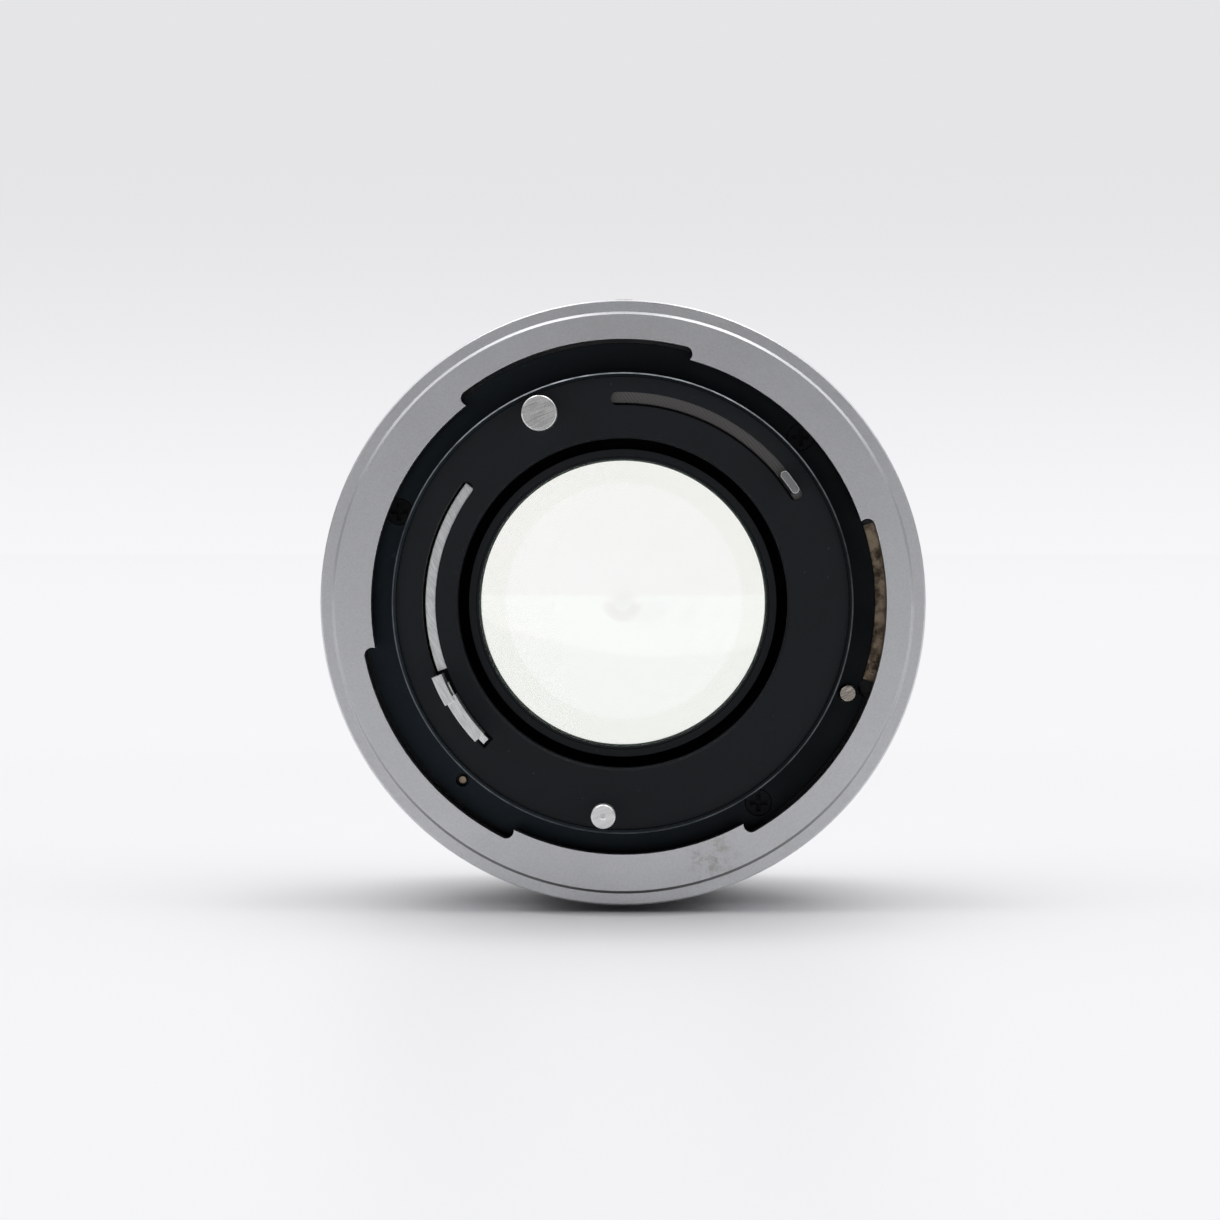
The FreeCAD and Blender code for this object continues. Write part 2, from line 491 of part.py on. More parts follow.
def polar_outline(sketch, corners, arcs):
    """A closed outline of corners (radius, angle). arcs names the edges that run round the axis."""
    count = len(corners)
    first = sketch.GeometryCount
    numbers = [(radius.number, math.radians(angle.number)) for radius, angle in corners]
    flat = [(radius * math.cos(angle), radius * math.sin(angle)) for radius, angle in numbers]
    ends = []
    for index, start in enumerate(flat):
        end = flat[(index + 1) % count]
        if index in arcs:
            here, there = numbers[index][1], numbers[(index + 1) % count][1]
            circle = Part.Circle(FreeCAD.Vector(0, 0, 0), FreeCAD.Vector(0, 0, 1), numbers[index][0])
            sketch.addGeometry(Part.ArcOfCircle(circle, min(here, there), max(here, there)), False)
            ends.append((1, 2) if here < there else (2, 1))
        else:
            sketch.addGeometry(Part.LineSegment(FreeCAD.Vector(*start, 0), FreeCAD.Vector(*end, 0)), False)
            ends.append((1, 2))
    for index in range(count):
        following = (index + 1) % count
        tie = ("Coincident", first + index, ends[index][1], first + following, ends[following][0])
        sketch.addConstraint(Sketcher.Constraint(*tie))
    for index in arcs:
        sketch.addConstraint(Sketcher.Constraint("Coincident", first + index, 3, -1, 1))
        bind(sketch, "Radius", (first + index,), corners[index][0])
    for index, (radius, angle) in enumerate(corners):
        spot = (-1, 1, first + index, ends[index][0])
        on_arc = index in arcs or (index - 1) % count in arcs
        steep = abs(flat[index][0]) < abs(flat[index][1])
        if not on_arc or steep:
            bind(sketch, "DistanceX", spot, radius * cos(angle))
        if not on_arc or not steep:
            bind(sketch, "DistanceY", spot, radius * sin(angle))


def disc(sketch, across, up, radius):
    """A circle with its centre and radius bound."""
    first = sketch.GeometryCount
    centre = FreeCAD.Vector(across.number, up.number, 0)
    sketch.addGeometry(Part.Circle(centre, FreeCAD.Vector(0, 0, 1), radius.number), False)
    bind(sketch, "DistanceX", (-1, 1, first, 3), across)
    bind(sketch, "DistanceY", (-1, 1, first, 3), up)
    bind(sketch, "Radius", (first,), radius)


def new_body(label):
    body = document.addObject("PartDesign::Body", label)
    body.Label = label
    return body


def keep(label, thing):
    """Notes a finished piece under the name of its node."""
    thing.Label = label
    parts[label] = thing
    return thing


def turned(label, points, domes=(), kept=True):
    """A piece turned about the optical axis from corners (radius, y)."""
    body = new_body(label)
    sketch = sketch_on(body, "XY_Plane", f"{label}_profile")
    outline(sketch, points, domes)
    feature = body.newObject("PartDesign::Revolution", f"{label}_turned")
    feature.Profile = sketch
    feature.ReferenceAxis = (sketch, ["V_Axis"])
    feature.Angle = 360
    body.Tip = feature
    if kept:
        keep(label, body)
    return body


def tube(label, inner, outer, back, front, kept=True):
    return turned(label, [(inner, back), (outer, back), (outer, front), (inner, front)], (), kept)


def sector(radius_in, radius_out, angle, sweep):
    """Corners and arc edges of a ring segment."""
    end = angle + sweep
    corners = [(radius_in, angle), (radius_out, angle), (radius_out, end), (radius_in, end)]
    return corners, (1, 3)


def pad_back(body, name, y_front, length, draw):
    """Adds what draw sketches, from the plane y_front towards the rear."""
    sketch = sketch_on(body, "XZ_Plane", f"{name}_outline", -y_front)
    draw(sketch)
    feature = body.newObject("PartDesign::Pad", name)
    feature.Profile = sketch
    feature.setExpression("Length", length.text)
    body.Tip = feature
    return feature


def cut_front(body, name, y_back, depth, draw):
    """Cuts what draw sketches, from the plane y_back towards the front."""
    sketch = sketch_on(body, "XZ_Plane", f"{name}_outline", -y_back)
    draw(sketch)
    feature = body.newObject("PartDesign::Pocket", name)
    feature.Profile = sketch
    feature.setExpression("Length", depth.text)
    body.Tip = feature
    return feature


def cut_inward(body, name, height, depth, draw, turn=None):
    """Cuts what draw sketches, from this height over the axis down towards it, on top or turned."""
    sketch = sketch_on(body, "XY_Plane", f"{name}_outline", height, turn)
    draw(sketch)
    feature = body.newObject("PartDesign::Pocket", name)
    feature.Profile = sketch
    feature.setExpression("Length", depth.text)
    body.Tip = feature
    return feature


def repeat(body, name, feature, count, angle=None):
    """Repeats a feature about the optical axis, all round or over an angle."""
    axis = next(item for item in body.Origin.OriginFeatures if item.Role == "Y_Axis")
    pattern = body.newObject("PartDesign::PolarPattern", name)
    pattern.Originals = [feature]
    pattern.Axis = (axis, [""])
    if angle is None:
        pattern.Angle = 360
    else:
        pattern.setExpression("Angle", angle.text)
    pattern.setExpression("Occurrences", count.text)
    body.Tip = pattern
    return pattern


def move_out(body, pitch, angle):
    """Moves a piece that was made on the optical axis out to a pitch radius and an angle."""
    body.setExpression("Placement.Base.x", (pitch * cos(angle)).text)
    body.setExpression("Placement.Base.z", (pitch * sin(angle)).text)


def turn_to(thing, angle):
    """Turns a piece about the optical axis, counter-clockwise as seen from behind."""
    thing.Placement = FreeCAD.Placement(FreeCAD.Vector(0, 0, 0), FreeCAD.Rotation(AXIS_BACK, 1.0))
    thing.setExpression("Placement.Rotation.Angle", angle.text)


def group(label, things):
    """Like fasteners in one node, as separate solids."""
    compound = document.addObject("Part::Compound", label)
    compound.Links = things
    return keep(label, compound)


def cross_recess(sketch, reach, half):
    """A cross outline about the sketch's origin."""
    signs = ((1, 1), (-1, 1), (-1, -1), (1, -1))
    points = []
    for number, (sx, sy) in enumerate(signs):
        far = (reach * sx, half * sy)
        near = (half * sx, half * sy)
        side = (half * sx, reach * sy)
        points.extend((far, near, side) if number % 2 == 0 else (side, near, far))
    outline(sketch, points)


def screw_back(label, head_rad, head_tall, shank_rad, shank_long, y_head, pitch, angle):
    """A cross-head screw whose head faces the rear and starts at y_head."""
    seat = y_head + head_tall
    end = seat + shank_long
    points = [
        (ZERO, y_head),
        (head_rad, y_head),
        (head_rad, seat),
        (shank_rad, seat),
        (shank_rad, end),
        (ZERO, end),
    ]
    body = turned(label, points, (), False)
    half = head_rad * 0.16
    reach = head_rad * 0.68
    cut_front(body, f"{label}_cross", y_head, head_tall * 0.6, lambda s: cross_recess(s, reach, half))
    move_out(body, pitch, angle)
    return body


def holes_at(pitch, radius, angles):
    """Draws one round hole at each angle."""

    def draw(sketch):
        for angle in angles:
            disc(sketch, pitch * cos(angle), pitch * sin(angle), radius)

    return draw


def sectors(*rings):
    """Draws ring segments, each (inner radius, outer radius, angle, sweep)."""

    def draw(sketch):
        for ring in rings:
            corners, arcs = sector(*ring)
            polar_outline(sketch, corners, arcs)

    return draw


def curve(edge, deep):
    """Radius of the sphere that is this deep at this edge radius."""
    return (edge * edge + deep * deep) / (deep * 2)


# Radii, from the rear element outwards. Each is the one inside it and a wall or a clearance.
glass_six_rad = dim.glass_seven_rad - dim.glass_six_step
glass_five_rad = glass_six_rad - dim.glass_five_step
glass_four_rad = glass_five_rad - dim.glass_four_step
glass_four_clear = glass_four_rad - dim.glass_four_rim
rear_neck_rad = glass_four_rad + dim.glass_gap + dim.neck_wall
rear_lip_rad = glass_four_rad - dim.rear_lip_wid
rear_retainer_in = dim.glass_seven_rad - dim.rear_retainer_wid
rear_cell_rad = dim.glass_seven_rad + dim.glass_gap + dim.rear_cell_wall
baffle_hole_rad = rear_cell_rad + dim.baffle_room
auto_ring_in = baffle_hole_rad + dim.collar_wall + dim.auto_ring_gap
auto_ring_out = auto_ring_in + dim.auto_ring_wid
auto_bar_in = auto_ring_out - dim.auto_bar_wid
auto_foot_in = auto_ring_out - dim.auto_foot_wid
auto_slot_in = auto_foot_in - dim.foot_room
auto_slot_out = auto_ring_out + dim.foot_room
claw_long_in = auto_foot_in - dim.claw_shift
claw_long_out = claw_long_in + dim.claw_long_wid
claw_short_in = claw_long_in + dim.claw_step
claw_short_out = claw_short_in + dim.claw_short_wid
auto_arm_out = auto_ring_out - dim.auto_arm_edge
auto_arm_in = auto_arm_out - dim.auto_arm_thick
signal_ring_in = auto_ring_out + dim.signal_side_gap
signal_ring_out = signal_ring_in + dim.signal_ring_wid
signal_tip_in = signal_ring_in + dim.signal_tip_edge
signal_tip_out = signal_tip_in + dim.signal_tip_thick
signal_slot_in = signal_tip_in - dim.signal_slot_room
signal_slot_out = signal_tip_out + dim.slot_gap
lever_bore = signal_ring_out + dim.signal_ring_gap
arm_bore_rad = lever_bore - dim.deck_ledge
signal_arm_out = arm_bore_rad - dim.signal_arm_gap
signal_arm_in = signal_arm_out - dim.signal_arm_thick
pocket_rad = lever_bore + dim.baffle_seat_wid
speed_pin_pitch = pocket_rad - dim.speed_pin_inset
guide_pin_pitch = pocket_rad - dim.guide_pin_inset
spigot_rad = pocket_rad + dim.spigot_wall
lug_rad = spigot_rad + dim.lug_room
cut_rad = lug_rad + dim.cut_deep
camera_flange_rad = cut_rad + dim.camera_gap
flange_rad = camera_flange_rad - dim.flange_side_gap
flange_cut_rad = flange_rad - dim.leaf_room
flange_screw_pitch = flange_rad - dim.flange_screw_inset
lock_pin_pitch = flange_rad - dim.lock_pin_inset
locating_pin_pitch = flange_rad - dim.locating_pin_inset
leaf_in = flange_cut_rad + dim.slot_gap / 2
leaf_out = leaf_in + dim.leaf_wid
leaf_middle = (leaf_in + leaf_out) / 2
housing_in = auto_arm_out + dim.fork_room
housing_rad = housing_in + dim.housing_wall
pivot_pitch = housing_in - dim.pivot_inset
blade_root_rad = pivot_pitch + dim.blade_root
blade_tail_rad = pivot_pitch - dim.blade_tail_back
blade_out = pivot_pitch - dim.blade_out_back
cam_rad = housing_in - dim.cam_side_gap
cam_bore = rear_neck_rad + dim.cam_bore_gap
glass_one_rad = housing_rad - dim.front_cell_wall - dim.glass_gap
glass_two_rad = glass_one_rad - dim.glass_two_step
glass_three_rad = glass_two_rad - dim.glass_three_step
glass_three_clear = glass_three_rad - dim.glass_three_rim
iris_clear = glass_three_clear + dim.iris_edge
blade_in = iris_clear - dim.blade_lap
bezel_in = glass_one_rad + dim.bezel_edge
cell_lip_rad = housing_rad + dim.cell_lip_wid
carrier_bore = housing_rad + dim.cell_gap
carrier_rad = carrier_bore + dim.carrier_wall
carrier_lip_rad = carrier_rad + dim.carrier_lip_wid
front_screw_pitch = carrier_lip_rad - dim.front_screw_inset
skirt_rad = carrier_rad + dim.thread_gap + dim.thread_wall + dim.skirt_side_gap + dim.skirt_wall
filter_rad = skirt_rad - dim.filter_wall
rim_rad = skirt_rad + dim.rim_wid
barrel_bore_rad = carrier_rad + dim.barrel_gap
helicoid_seat_rad = barrel_bore_rad + dim.barrel_wall
journal_rad = helicoid_seat_rad + dim.journal_step
shoulder_rad = journal_rad + dim.shoulder_step
ring_rad = shoulder_rad + dim.run_gap + dim.ring_wall
ring_face_rad = ring_rad - dim.ring_edge
aperture_ring_rad = journal_rad + dim.run_gap + dim.aperture_wall
aperture_grip_rad = aperture_ring_rad + dim.aperture_grip_tall
scale_ring_low = aperture_ring_rad
scale_ring_rad = scale_ring_low + dim.scale_ring_rise
focus_ring_in = helicoid_seat_rad + dim.run_gap + dim.sleeve_wall
focus_ring_rad = focus_ring_in + dim.seat_gap + dim.focus_wall
focus_band_rad = focus_ring_rad + dim.band_proud
grip_rad = focus_ring_rad + dim.seat_gap + dim.grip_thick

# Curvatures of the glass, each from the depth of its curve.
glass_one_front_curve = curve(glass_one_rad, dim.glass_one_front_deep)
glass_one_back_curve = curve(glass_one_rad, dim.glass_one_back_deep)
glass_two_front_curve = curve(glass_two_rad, dim.glass_two_front_deep)
glass_two_back_curve = curve(glass_two_rad, dim.glass_two_back_deep)
glass_three_front_curve = curve(glass_three_rad, dim.glass_three_front_deep)
glass_three_back_curve = curve(glass_three_clear, dim.glass_three_hollow_deep)
glass_four_front_curve = curve(glass_four_clear, dim.glass_four_hollow_deep)
cement_curve = curve(glass_five_rad, dim.cement_deep)
glass_five_back_curve = curve(glass_five_rad, dim.glass_five_back_deep)
glass_six_front_curve = curve(glass_six_rad, dim.glass_six_front_deep)
glass_six_back_curve = curve(glass_six_rad, dim.glass_six_back_deep)
glass_seven_front_curve = curve(dim.glass_seven_rad, dim.glass_seven_front_deep)
glass_seven_back_curve = curve(dim.glass_seven_rad, dim.glass_seven_back_deep)

# Planes along the axis that several pieces share.
rim_y = -dim.spigot_reach
baffle_back = rim_y + dim.baffle_sink
baffle_front = baffle_back + dim.baffle_thick
deck_back = baffle_front + dim.lever_room
deck_front = deck_back + dim.deck_thick
lever_front = deck_back - dim.lever_gap
lever_back = lever_front - dim.lever_ring_thick
ring_mouth = -dim.ring_back
lug_front = ring_mouth + dim.lug_thick
aperture_back = dim.ring_front + dim.face_gap
aperture_front = aperture_back + dim.aperture_ring_long
scale_back = aperture_front + dim.face_gap
scale_front = scale_back + dim.scale_ring_long
focus_back = scale_front + dim.face_gap
focus_front = focus_back + dim.focus_long
helicoid_front = focus_back + dim.helicoid_long
web_back = focus_back + dim.sleeve_long
carrier_lip_back = helicoid_front + dim.face_gap
carrier_front = carrier_lip_back + dim.carrier_lip_thick
front_web_front = carrier_front + dim.front_web_thick
filter_back = front_web_front + dim.filter_land
front_rim = filter_back + dim.filter_long
tip_back = baffle_back - dim.tip_tall
arm_bore_front = dim.ring_front + dim.arm_bore_step
key_back = arm_bore_front + dim.key_gap + dim.key_gap
key_front = key_back + dim.key_wid
well_front = dim.flange_thick + dim.pin_well_deep
shoulder_front = dim.ring_front - dim.shoulder_inset
carrier_back = key_front + dim.carrier_gap
barrel_front = web_back - dim.web_gap
lip_front = dim.flange_thick - dim.lip_gap
flange_screw_angles = (dim.flange_screw_one, dim.flange_screw_two, dim.flange_screw_three)
front_screw_angles = (Size("30"), Size("150"), Size("270"))


def arm_slot(arm_in, arm_out, arm_at, arm_sweep, travel):
    """The slot that an arm needs: its own segment, its travel either way and clearance all round."""
    from_angle = arm_at - arm_sweep / 2 - dim.slot_gap_sweep
    full = arm_sweep + travel + dim.slot_gap_sweep * 2
    return (arm_in - dim.slot_gap, arm_out + dim.slot_gap, from_angle, full)


signal_slot = arm_slot(
    signal_arm_in, signal_arm_out, dim.signal_arm_at, dim.signal_arm_sweep, dim.signal_travel
)
auto_slot = arm_slot(
    auto_arm_in, auto_arm_out, dim.auto_arm_at - dim.auto_travel, dim.auto_arm_sweep, dim.auto_travel
)


def mount_flange():
    """Register face and spigot, one turned piece with holes for screws and pins."""
    body = turned(
        "mount_flange",
        [
            (pocket_rad, rim_y),
            (spigot_rad - dim.edge_bevel / 2, rim_y),
            (spigot_rad, rim_y + dim.edge_bevel / 2),
            (spigot_rad, ZERO),
            (flange_rad, ZERO),
            (flange_rad, dim.flange_thick),
            (arm_bore_rad, dim.flange_thick),
            (arm_bore_rad, deck_front),
            (lever_bore, deck_front),
            (lever_bore, baffle_front),
            (pocket_rad, baffle_front),
        ],
    )
    hole = dim.flange_shank_rad + dim.pin_gap
    pitch = flange_screw_pitch
    holes = holes_at(pitch, hole, flange_screw_angles)
    cut_front(body, "flange_screw_holes", ZERO, dim.flange_thick, holes)
    sinks = holes_at(pitch, dim.flange_head_rad + dim.pin_gap, flange_screw_angles)
    cut_front(body, "flange_screw_sinks", ZERO, dim.flange_head_tall, sinks)
    cut_front(
        body,
        "lock_pin_hole",
        ZERO,
        dim.flange_thick,
        holes_at(lock_pin_pitch, dim.lock_pin_rad + dim.pin_gap, [dim.lock_pin_at]),
    )
    cut_front(
        body,
        "locating_pin_hole",
        ZERO,
        dim.flange_thick,
        holes_at(locating_pin_pitch, dim.locating_hole_rad, [dim.locating_pin_at]),
    )
    notch = holes_at(flange_rad, dim.edge_notch_rad, [dim.edge_notch_at])
    cut_front(body, "edge_notch", ZERO, dim.flange_thick, notch)
    start = dim.leaf_from - dim.slot_gap_sweep
    window = (flange_cut_rad, flange_rad + dim.cut_over, start, dim.leaf_sweep + dim.slot_gap_sweep)
    cut_front(body, "leaf_window", ZERO, dim.flange_thick, sectors(window))


def flange_fasteners():
    screws = []
    for number, angle in enumerate(flange_screw_angles, start=1):
        screws.append(
            screw_back(
                f"flange_screw_{number}",
                dim.flange_head_rad,
                dim.flange_head_tall,
                dim.flange_shank_rad,
                dim.flange_shank_long,
                ZERO,
                flange_screw_pitch,
                angle,
            )
        )
    group("flange_screws", screws)


def lock_spring():
    """Bronze leaf in the flange's side, on the main barrel's end face, with its screw."""
    back = dim.flange_thick - dim.leaf_thick
    body = new_body("lock_spring_leaf")
    ring = (leaf_in, leaf_out, dim.leaf_from, dim.leaf_sweep - dim.slot_gap_sweep)
    pad_back(body, "leaf_strip", dim.flange_thick, dim.leaf_thick, sectors(ring))
    rivet = holes_at(leaf_middle, dim.leaf_rivet_rad, [dim.leaf_rivet_at])
    pad_back(body, "leaf_rivet", dim.flange_thick, dim.leaf_thick + dim.leaf_rivet_tall, rivet)
    hole = holes_at(leaf_middle, dim.leaf_shank_rad + dim.pin_gap, [dim.leaf_screw_at])
    cut_front(body, "leaf_hole", back, dim.leaf_thick, hole)
    keep("lock_spring_leaf", body)
    screw = screw_back(
        "leaf_screw",
        dim.leaf_screw_rad,
        dim.leaf_head_tall,
        dim.leaf_shank_rad,
        dim.pin_well_deep - dim.face_gap,
        back - dim.leaf_head_tall,
        leaf_middle,
        dim.leaf_screw_at,
    )
    keep("leaf_screw", screw)


def cut_out(start, sweep):
    """Corners of one cut-out between the lugs, up to the middles of its rounded ends."""
    inside = lug_rad - dim.cut_over
    return sector(inside, cut_rad, start + dim.cut_corner_at, sweep - dim.cut_corner_at * 2)


def breech_ring():
    """Silver ring that draws the lens on to the camera: three lugs inside, three cut-outs."""
    wide = shoulder_rad + dim.run_gap
    body = turned(
        "breech_ring",
        [
            (lug_rad, ring_mouth),
            (ring_face_rad - dim.ring_slope / 2, ring_mouth),
            (ring_face_rad + dim.ring_slope / 2, ring_mouth + dim.ring_step),
            (ring_rad - dim.edge_bevel / 2, ring_mouth + dim.ring_step),
            (ring_rad, ring_mouth + dim.ring_step + dim.edge_bevel / 2),
            (ring_rad, dim.ring_front - dim.edge_bevel),
            (ring_rad - dim.edge_bevel, dim.ring_front),
            (wide, dim.ring_front),
            (wide, lip_front),
            (camera_flange_rad, lip_front),
            (camera_flange_rad, lug_front),
            (lug_rad, lug_front),
        ],
    )

    cut_outs = (
        (dim.top_cut_from, dim.top_cut_sweep),
        (dim.low_cut_from, dim.low_cut_sweep),
        (dim.side_cut_from, dim.side_cut_sweep),
    )
    ends = []

    def draw(sketch):
        for start, sweep in cut_outs:
            corners, arcs = cut_out(start, sweep)
            polar_outline(sketch, corners, arcs)

    for start, sweep in cut_outs:
        ends.extend((start + dim.cut_corner_at, start + sweep - dim.cut_corner_at))
    cut_front(body, "lug_cut_outs", ring_mouth, dim.lug_thick, draw)
    corners = holes_at(cut_rad - dim.cut_corner_rad, dim.cut_corner_rad, ends)
    cut_front(body, "cut_out_corners", ring_mouth, dim.lug_thick, corners)
    cut_inward(
        body,
        "ring_bead_seat",
        ring_rad,
        dim.index_bead_sink,
        lambda s: disc(s, ZERO, dim.index_bead_rad, dim.index_bead_rad + dim.seat_gap),
    )
    bead("breech_index_bead", ring_rad, dim.index_bead_rad)


def bead(label, surface, along):
    """A red index bead on top, at y = along, let into a surface of this radius."""
    sink = surface - dim.index_bead_sink
    top = surface + dim.index_bead_proud
    body = new_body(label)
    sketch = sketch_on(body, "XY_Plane", f"{label}_outline", sink)
    disc(sketch, ZERO, along, dim.index_bead_rad)
    feature = body.newObject("PartDesign::Pad", f"{label}_raised")
    feature.Profile = sketch
    feature.setExpression("Length", (top - sink).text)
    body.Tip = feature
    keep(label, body)


def light_baffle():
    """Matt black rear plate with its collar, the two lever slots and the pins' holes."""
    outer = pocket_rad - dim.seat_gap
    collar = baffle_hole_rad + dim.collar_wall
    body = turned(
        "light_baffle",
        [
            (baffle_hole_rad + dim.edge_bevel, baffle_back),
            (outer, baffle_back),
            (outer, baffle_front),
            (collar, baffle_front),
            (collar, deck_back),
            (baffle_hole_rad, deck_back),
            (baffle_hole_rad, baffle_back + dim.edge_bevel),
        ],
    )
    slots = sectors(
        (signal_slot_in, signal_slot_out, dim.signal_slot_from, dim.signal_slot_sweep),
        (auto_slot_in, auto_slot_out, dim.auto_slot_from, dim.auto_slot_sweep),
    )
    cut_front(body, "lever_slots", baffle_back, dim.baffle_thick, slots)

    def round_ends(sketch):
        signal_ends = [dim.signal_slot_from, dim.signal_slot_from + dim.signal_slot_sweep]
        for inner, outer, angles in (
            (signal_slot_in, signal_slot_out, signal_ends),
            (auto_slot_in, auto_slot_out, [dim.auto_slot_from]),
        ):
            holes_at((inner + outer) / 2, (outer - inner) / 2, angles)(sketch)

    cut_front(body, "slot_ends", baffle_back, dim.baffle_thick, round_ends)
    hole = dim.rivet_rad + dim.rivet_gap

    def draw(sketch):
        holes_at(speed_pin_pitch, hole, [dim.speed_pin_at])(sketch)
        holes_at(guide_pin_pitch, hole, [dim.guide_pin_at])(sketch)

    cut_front(body, "rivet_holes", baffle_back, dim.baffle_thick, draw)


def rear_pins():
    """The two bright pins riveted on the baffle."""
    end = baffle_back - dim.speed_pin_tall
    bevel = dim.edge_bevel
    speed = turned(
        "full_aperture_pin",
        [
            (ZERO, end),
            (dim.speed_pin_rad - bevel / 3, end),
            (dim.speed_pin_rad, end + bevel / 3),
            (dim.speed_pin_rad, baffle_back),
            (dim.rivet_rad, baffle_back),
            (dim.rivet_rad, baffle_front),
            (ZERO, baffle_front),
        ],
    )
    move_out(speed, speed_pin_pitch, dim.speed_pin_at)
    end = baffle_back - dim.guide_pin_tall
    guide = turned(
        "guide_pin",
        [
            (ZERO, end + dim.guide_dimple_rad),
            (dim.guide_dimple_rad, end),
            (dim.guide_pin_rad - bevel / 2, end),
            (dim.guide_pin_rad, end + bevel / 2),
            (dim.guide_pin_rad, baffle_back),
            (dim.rivet_rad, baffle_back),
            (dim.rivet_rad, baffle_front),
            (ZERO, baffle_front),
        ],
    )
    move_out(guide, guide_pin_pitch, dim.guide_pin_at)


def lever_deck():
    """Plate that both lever rings slide on, with a slot for each lever's arm."""
    body = tube("lever_deck", baffle_hole_rad, lever_bore - dim.seat_gap, deck_back, deck_front)
    cut_front(body, "arm_slots", deck_back, dim.deck_thick, sectors(signal_slot, auto_slot))


def signal_lever():
    """Ring, tip and forward arm that carry the set aperture to the camera."""
    body = tube("signal_lever", signal_ring_in, signal_ring_out, lever_back, lever_front)
    tip = (signal_tip_in, signal_tip_out, dim.signal_tip_from, dim.signal_tip_sweep)
    pad_back(body, "signal_tip", lever_back, lever_back - tip_back, sectors(tip))
    tip_ends = [dim.signal_tip_from, dim.signal_tip_from + dim.signal_tip_sweep]
    ends = holes_at((signal_tip_in + signal_tip_out) / 2, dim.signal_tip_thick / 2, tip_ends)
    pad_back(body, "signal_tip_ends", lever_back, lever_back - tip_back, ends)
    start = dim.signal_arm_at - dim.signal_arm_sweep / 2
    arm = (signal_arm_in, signal_arm_out, start, dim.signal_arm_sweep)
    pad_back(body, "signal_arm", key_front, key_front - lever_front, sectors(arm))
    key = (signal_arm_in, journal_rad + dim.run_gap + dim.key_wid, start, dim.signal_arm_sweep)
    pad_back(body, "signal_key", key_front, dim.key_wid, sectors(key))


def auto_lever():
    """Ring of the automatic aperture lever with the bright bar, the claw and the long arm."""
    body = tube("auto_lever", auto_ring_in, auto_ring_out, lever_back, lever_front)
    bar = (auto_bar_in, auto_ring_out, dim.auto_bar_from, dim.auto_bar_sweep)
    pad_back(body, "auto_bar", lever_back, dim.auto_bar_tall, sectors(bar))
    claw_front = baffle_back - dim.claw_gap
    foot = (auto_foot_in, auto_ring_out, dim.auto_foot_from, dim.auto_foot_sweep)
    pad_back(body, "auto_foot", lever_back, lever_back - claw_front + dim.claw_gap, sectors(foot))
    low = (claw_long_in, claw_long_out, dim.claw_step_at, dim.claw_long_sweep)
    pad_back(body, "claw_low", claw_front, dim.claw_low_tall, sectors(low))
    start = dim.claw_step_at - dim.claw_short_sweep
    high = (claw_short_in, claw_short_out, start, dim.claw_short_sweep + dim.slot_gap_sweep)
    pad_back(body, "claw_high", claw_front, claw_front - tip_back, sectors(high))
    arm_start = dim.auto_arm_at - dim.auto_arm_sweep / 2
    arm = (auto_arm_in, auto_arm_out, arm_start, dim.auto_arm_sweep)
    pad_back(body, "auto_arm", arm_front, arm_front - lever_front, sectors(arm))


def flange_pins():
    """Sprung lock pin with its collar behind the flange, and the thin brass locating pin."""
    end = -dim.lock_pin_proud
    collar_back = dim.flange_thick + dim.seat_gap
    collar_front = collar_back + dim.lock_collar_thick
    lock = turned(
        "lock_pin",
        [
            (ZERO, end),
            (dim.lock_pin_rad - dim.edge_bevel / 3, end),
            (dim.lock_pin_rad, end + dim.edge_bevel / 3),
            (dim.lock_pin_rad, collar_back),
            (dim.lock_collar_rad, collar_back),
            (dim.lock_collar_rad, collar_front),
            (ZERO, collar_front),
        ],
    )
    move_out(lock, lock_pin_pitch, dim.lock_pin_at)
    start = dim.locating_pin_sink
    locating = tube_rod("locating_pin", dim.locating_pin_rad, start, well_front - dim.seat_gap)
    move_out(locating, locating_pin_pitch, dim.locating_pin_at)


def tube_rod(label, radius, back, front, kept=True):
    """A plain round rod on the axis."""
    return turned(label, [(ZERO, back), (radius, back), (radius, front), (ZERO, front)], (), kept)


def coil(label, radius, pitch, length):
    """A small compression spring along +Z from the origin, its wire's ends inside its length."""
    path = document.addObject("Part::Helix", f"{label}_path")
    path.setExpression("Radius", radius.text)
    path.setExpression("Pitch", pitch.text)
    path.setExpression("Height", (length - dim.wire_rad * 2).text)
    path.setExpression("Placement.Base.z", dim.wire_rad.text)
    wire = document.addObject("Part::Circle", f"{label}_wire")
    wire.setExpression("Radius", dim.wire_rad.text)
    wire.Placement = FreeCAD.Placement(FreeCAD.Vector(), FreeCAD.Rotation(FreeCAD.Vector(1, 0, 0), 90))
    wire.setExpression("Placement.Base.x", radius.text)
    wire.setExpression("Placement.Base.z", dim.wire_rad.text)
    sweep = document.addObject("Part::Sweep", label)
    sweep.Sections = [wire]
    sweep.Spine = (path, ["Edge1"])
    sweep.Solid = True
    sweep.Frenet = True
    return keep(label, sweep)


def lock_pin_spring():
    """Coil behind the lock pin, in the bottom of its well."""
    back = dim.flange_thick + dim.seat_gap + dim.lock_collar_thick + dim.lock_pin_travel + dim.seat_gap
    spring = coil("lock_pin_spring", dim.lock_spring_rad, dim.lock_spring_pitch, well_front - back)
    spring.Placement = FreeCAD.Placement(FreeCAD.Vector(), FreeCAD.Rotation(FreeCAD.Vector(1, 0, 0), -90))
    spring.setExpression("Placement.Base.x", (lock_pin_pitch * cos(dim.lock_pin_at)).text)
    spring.setExpression("Placement.Base.y", back.text)
    spring.setExpression("Placement.Base.z", (lock_pin_pitch * sin(dim.lock_pin_at)).text)


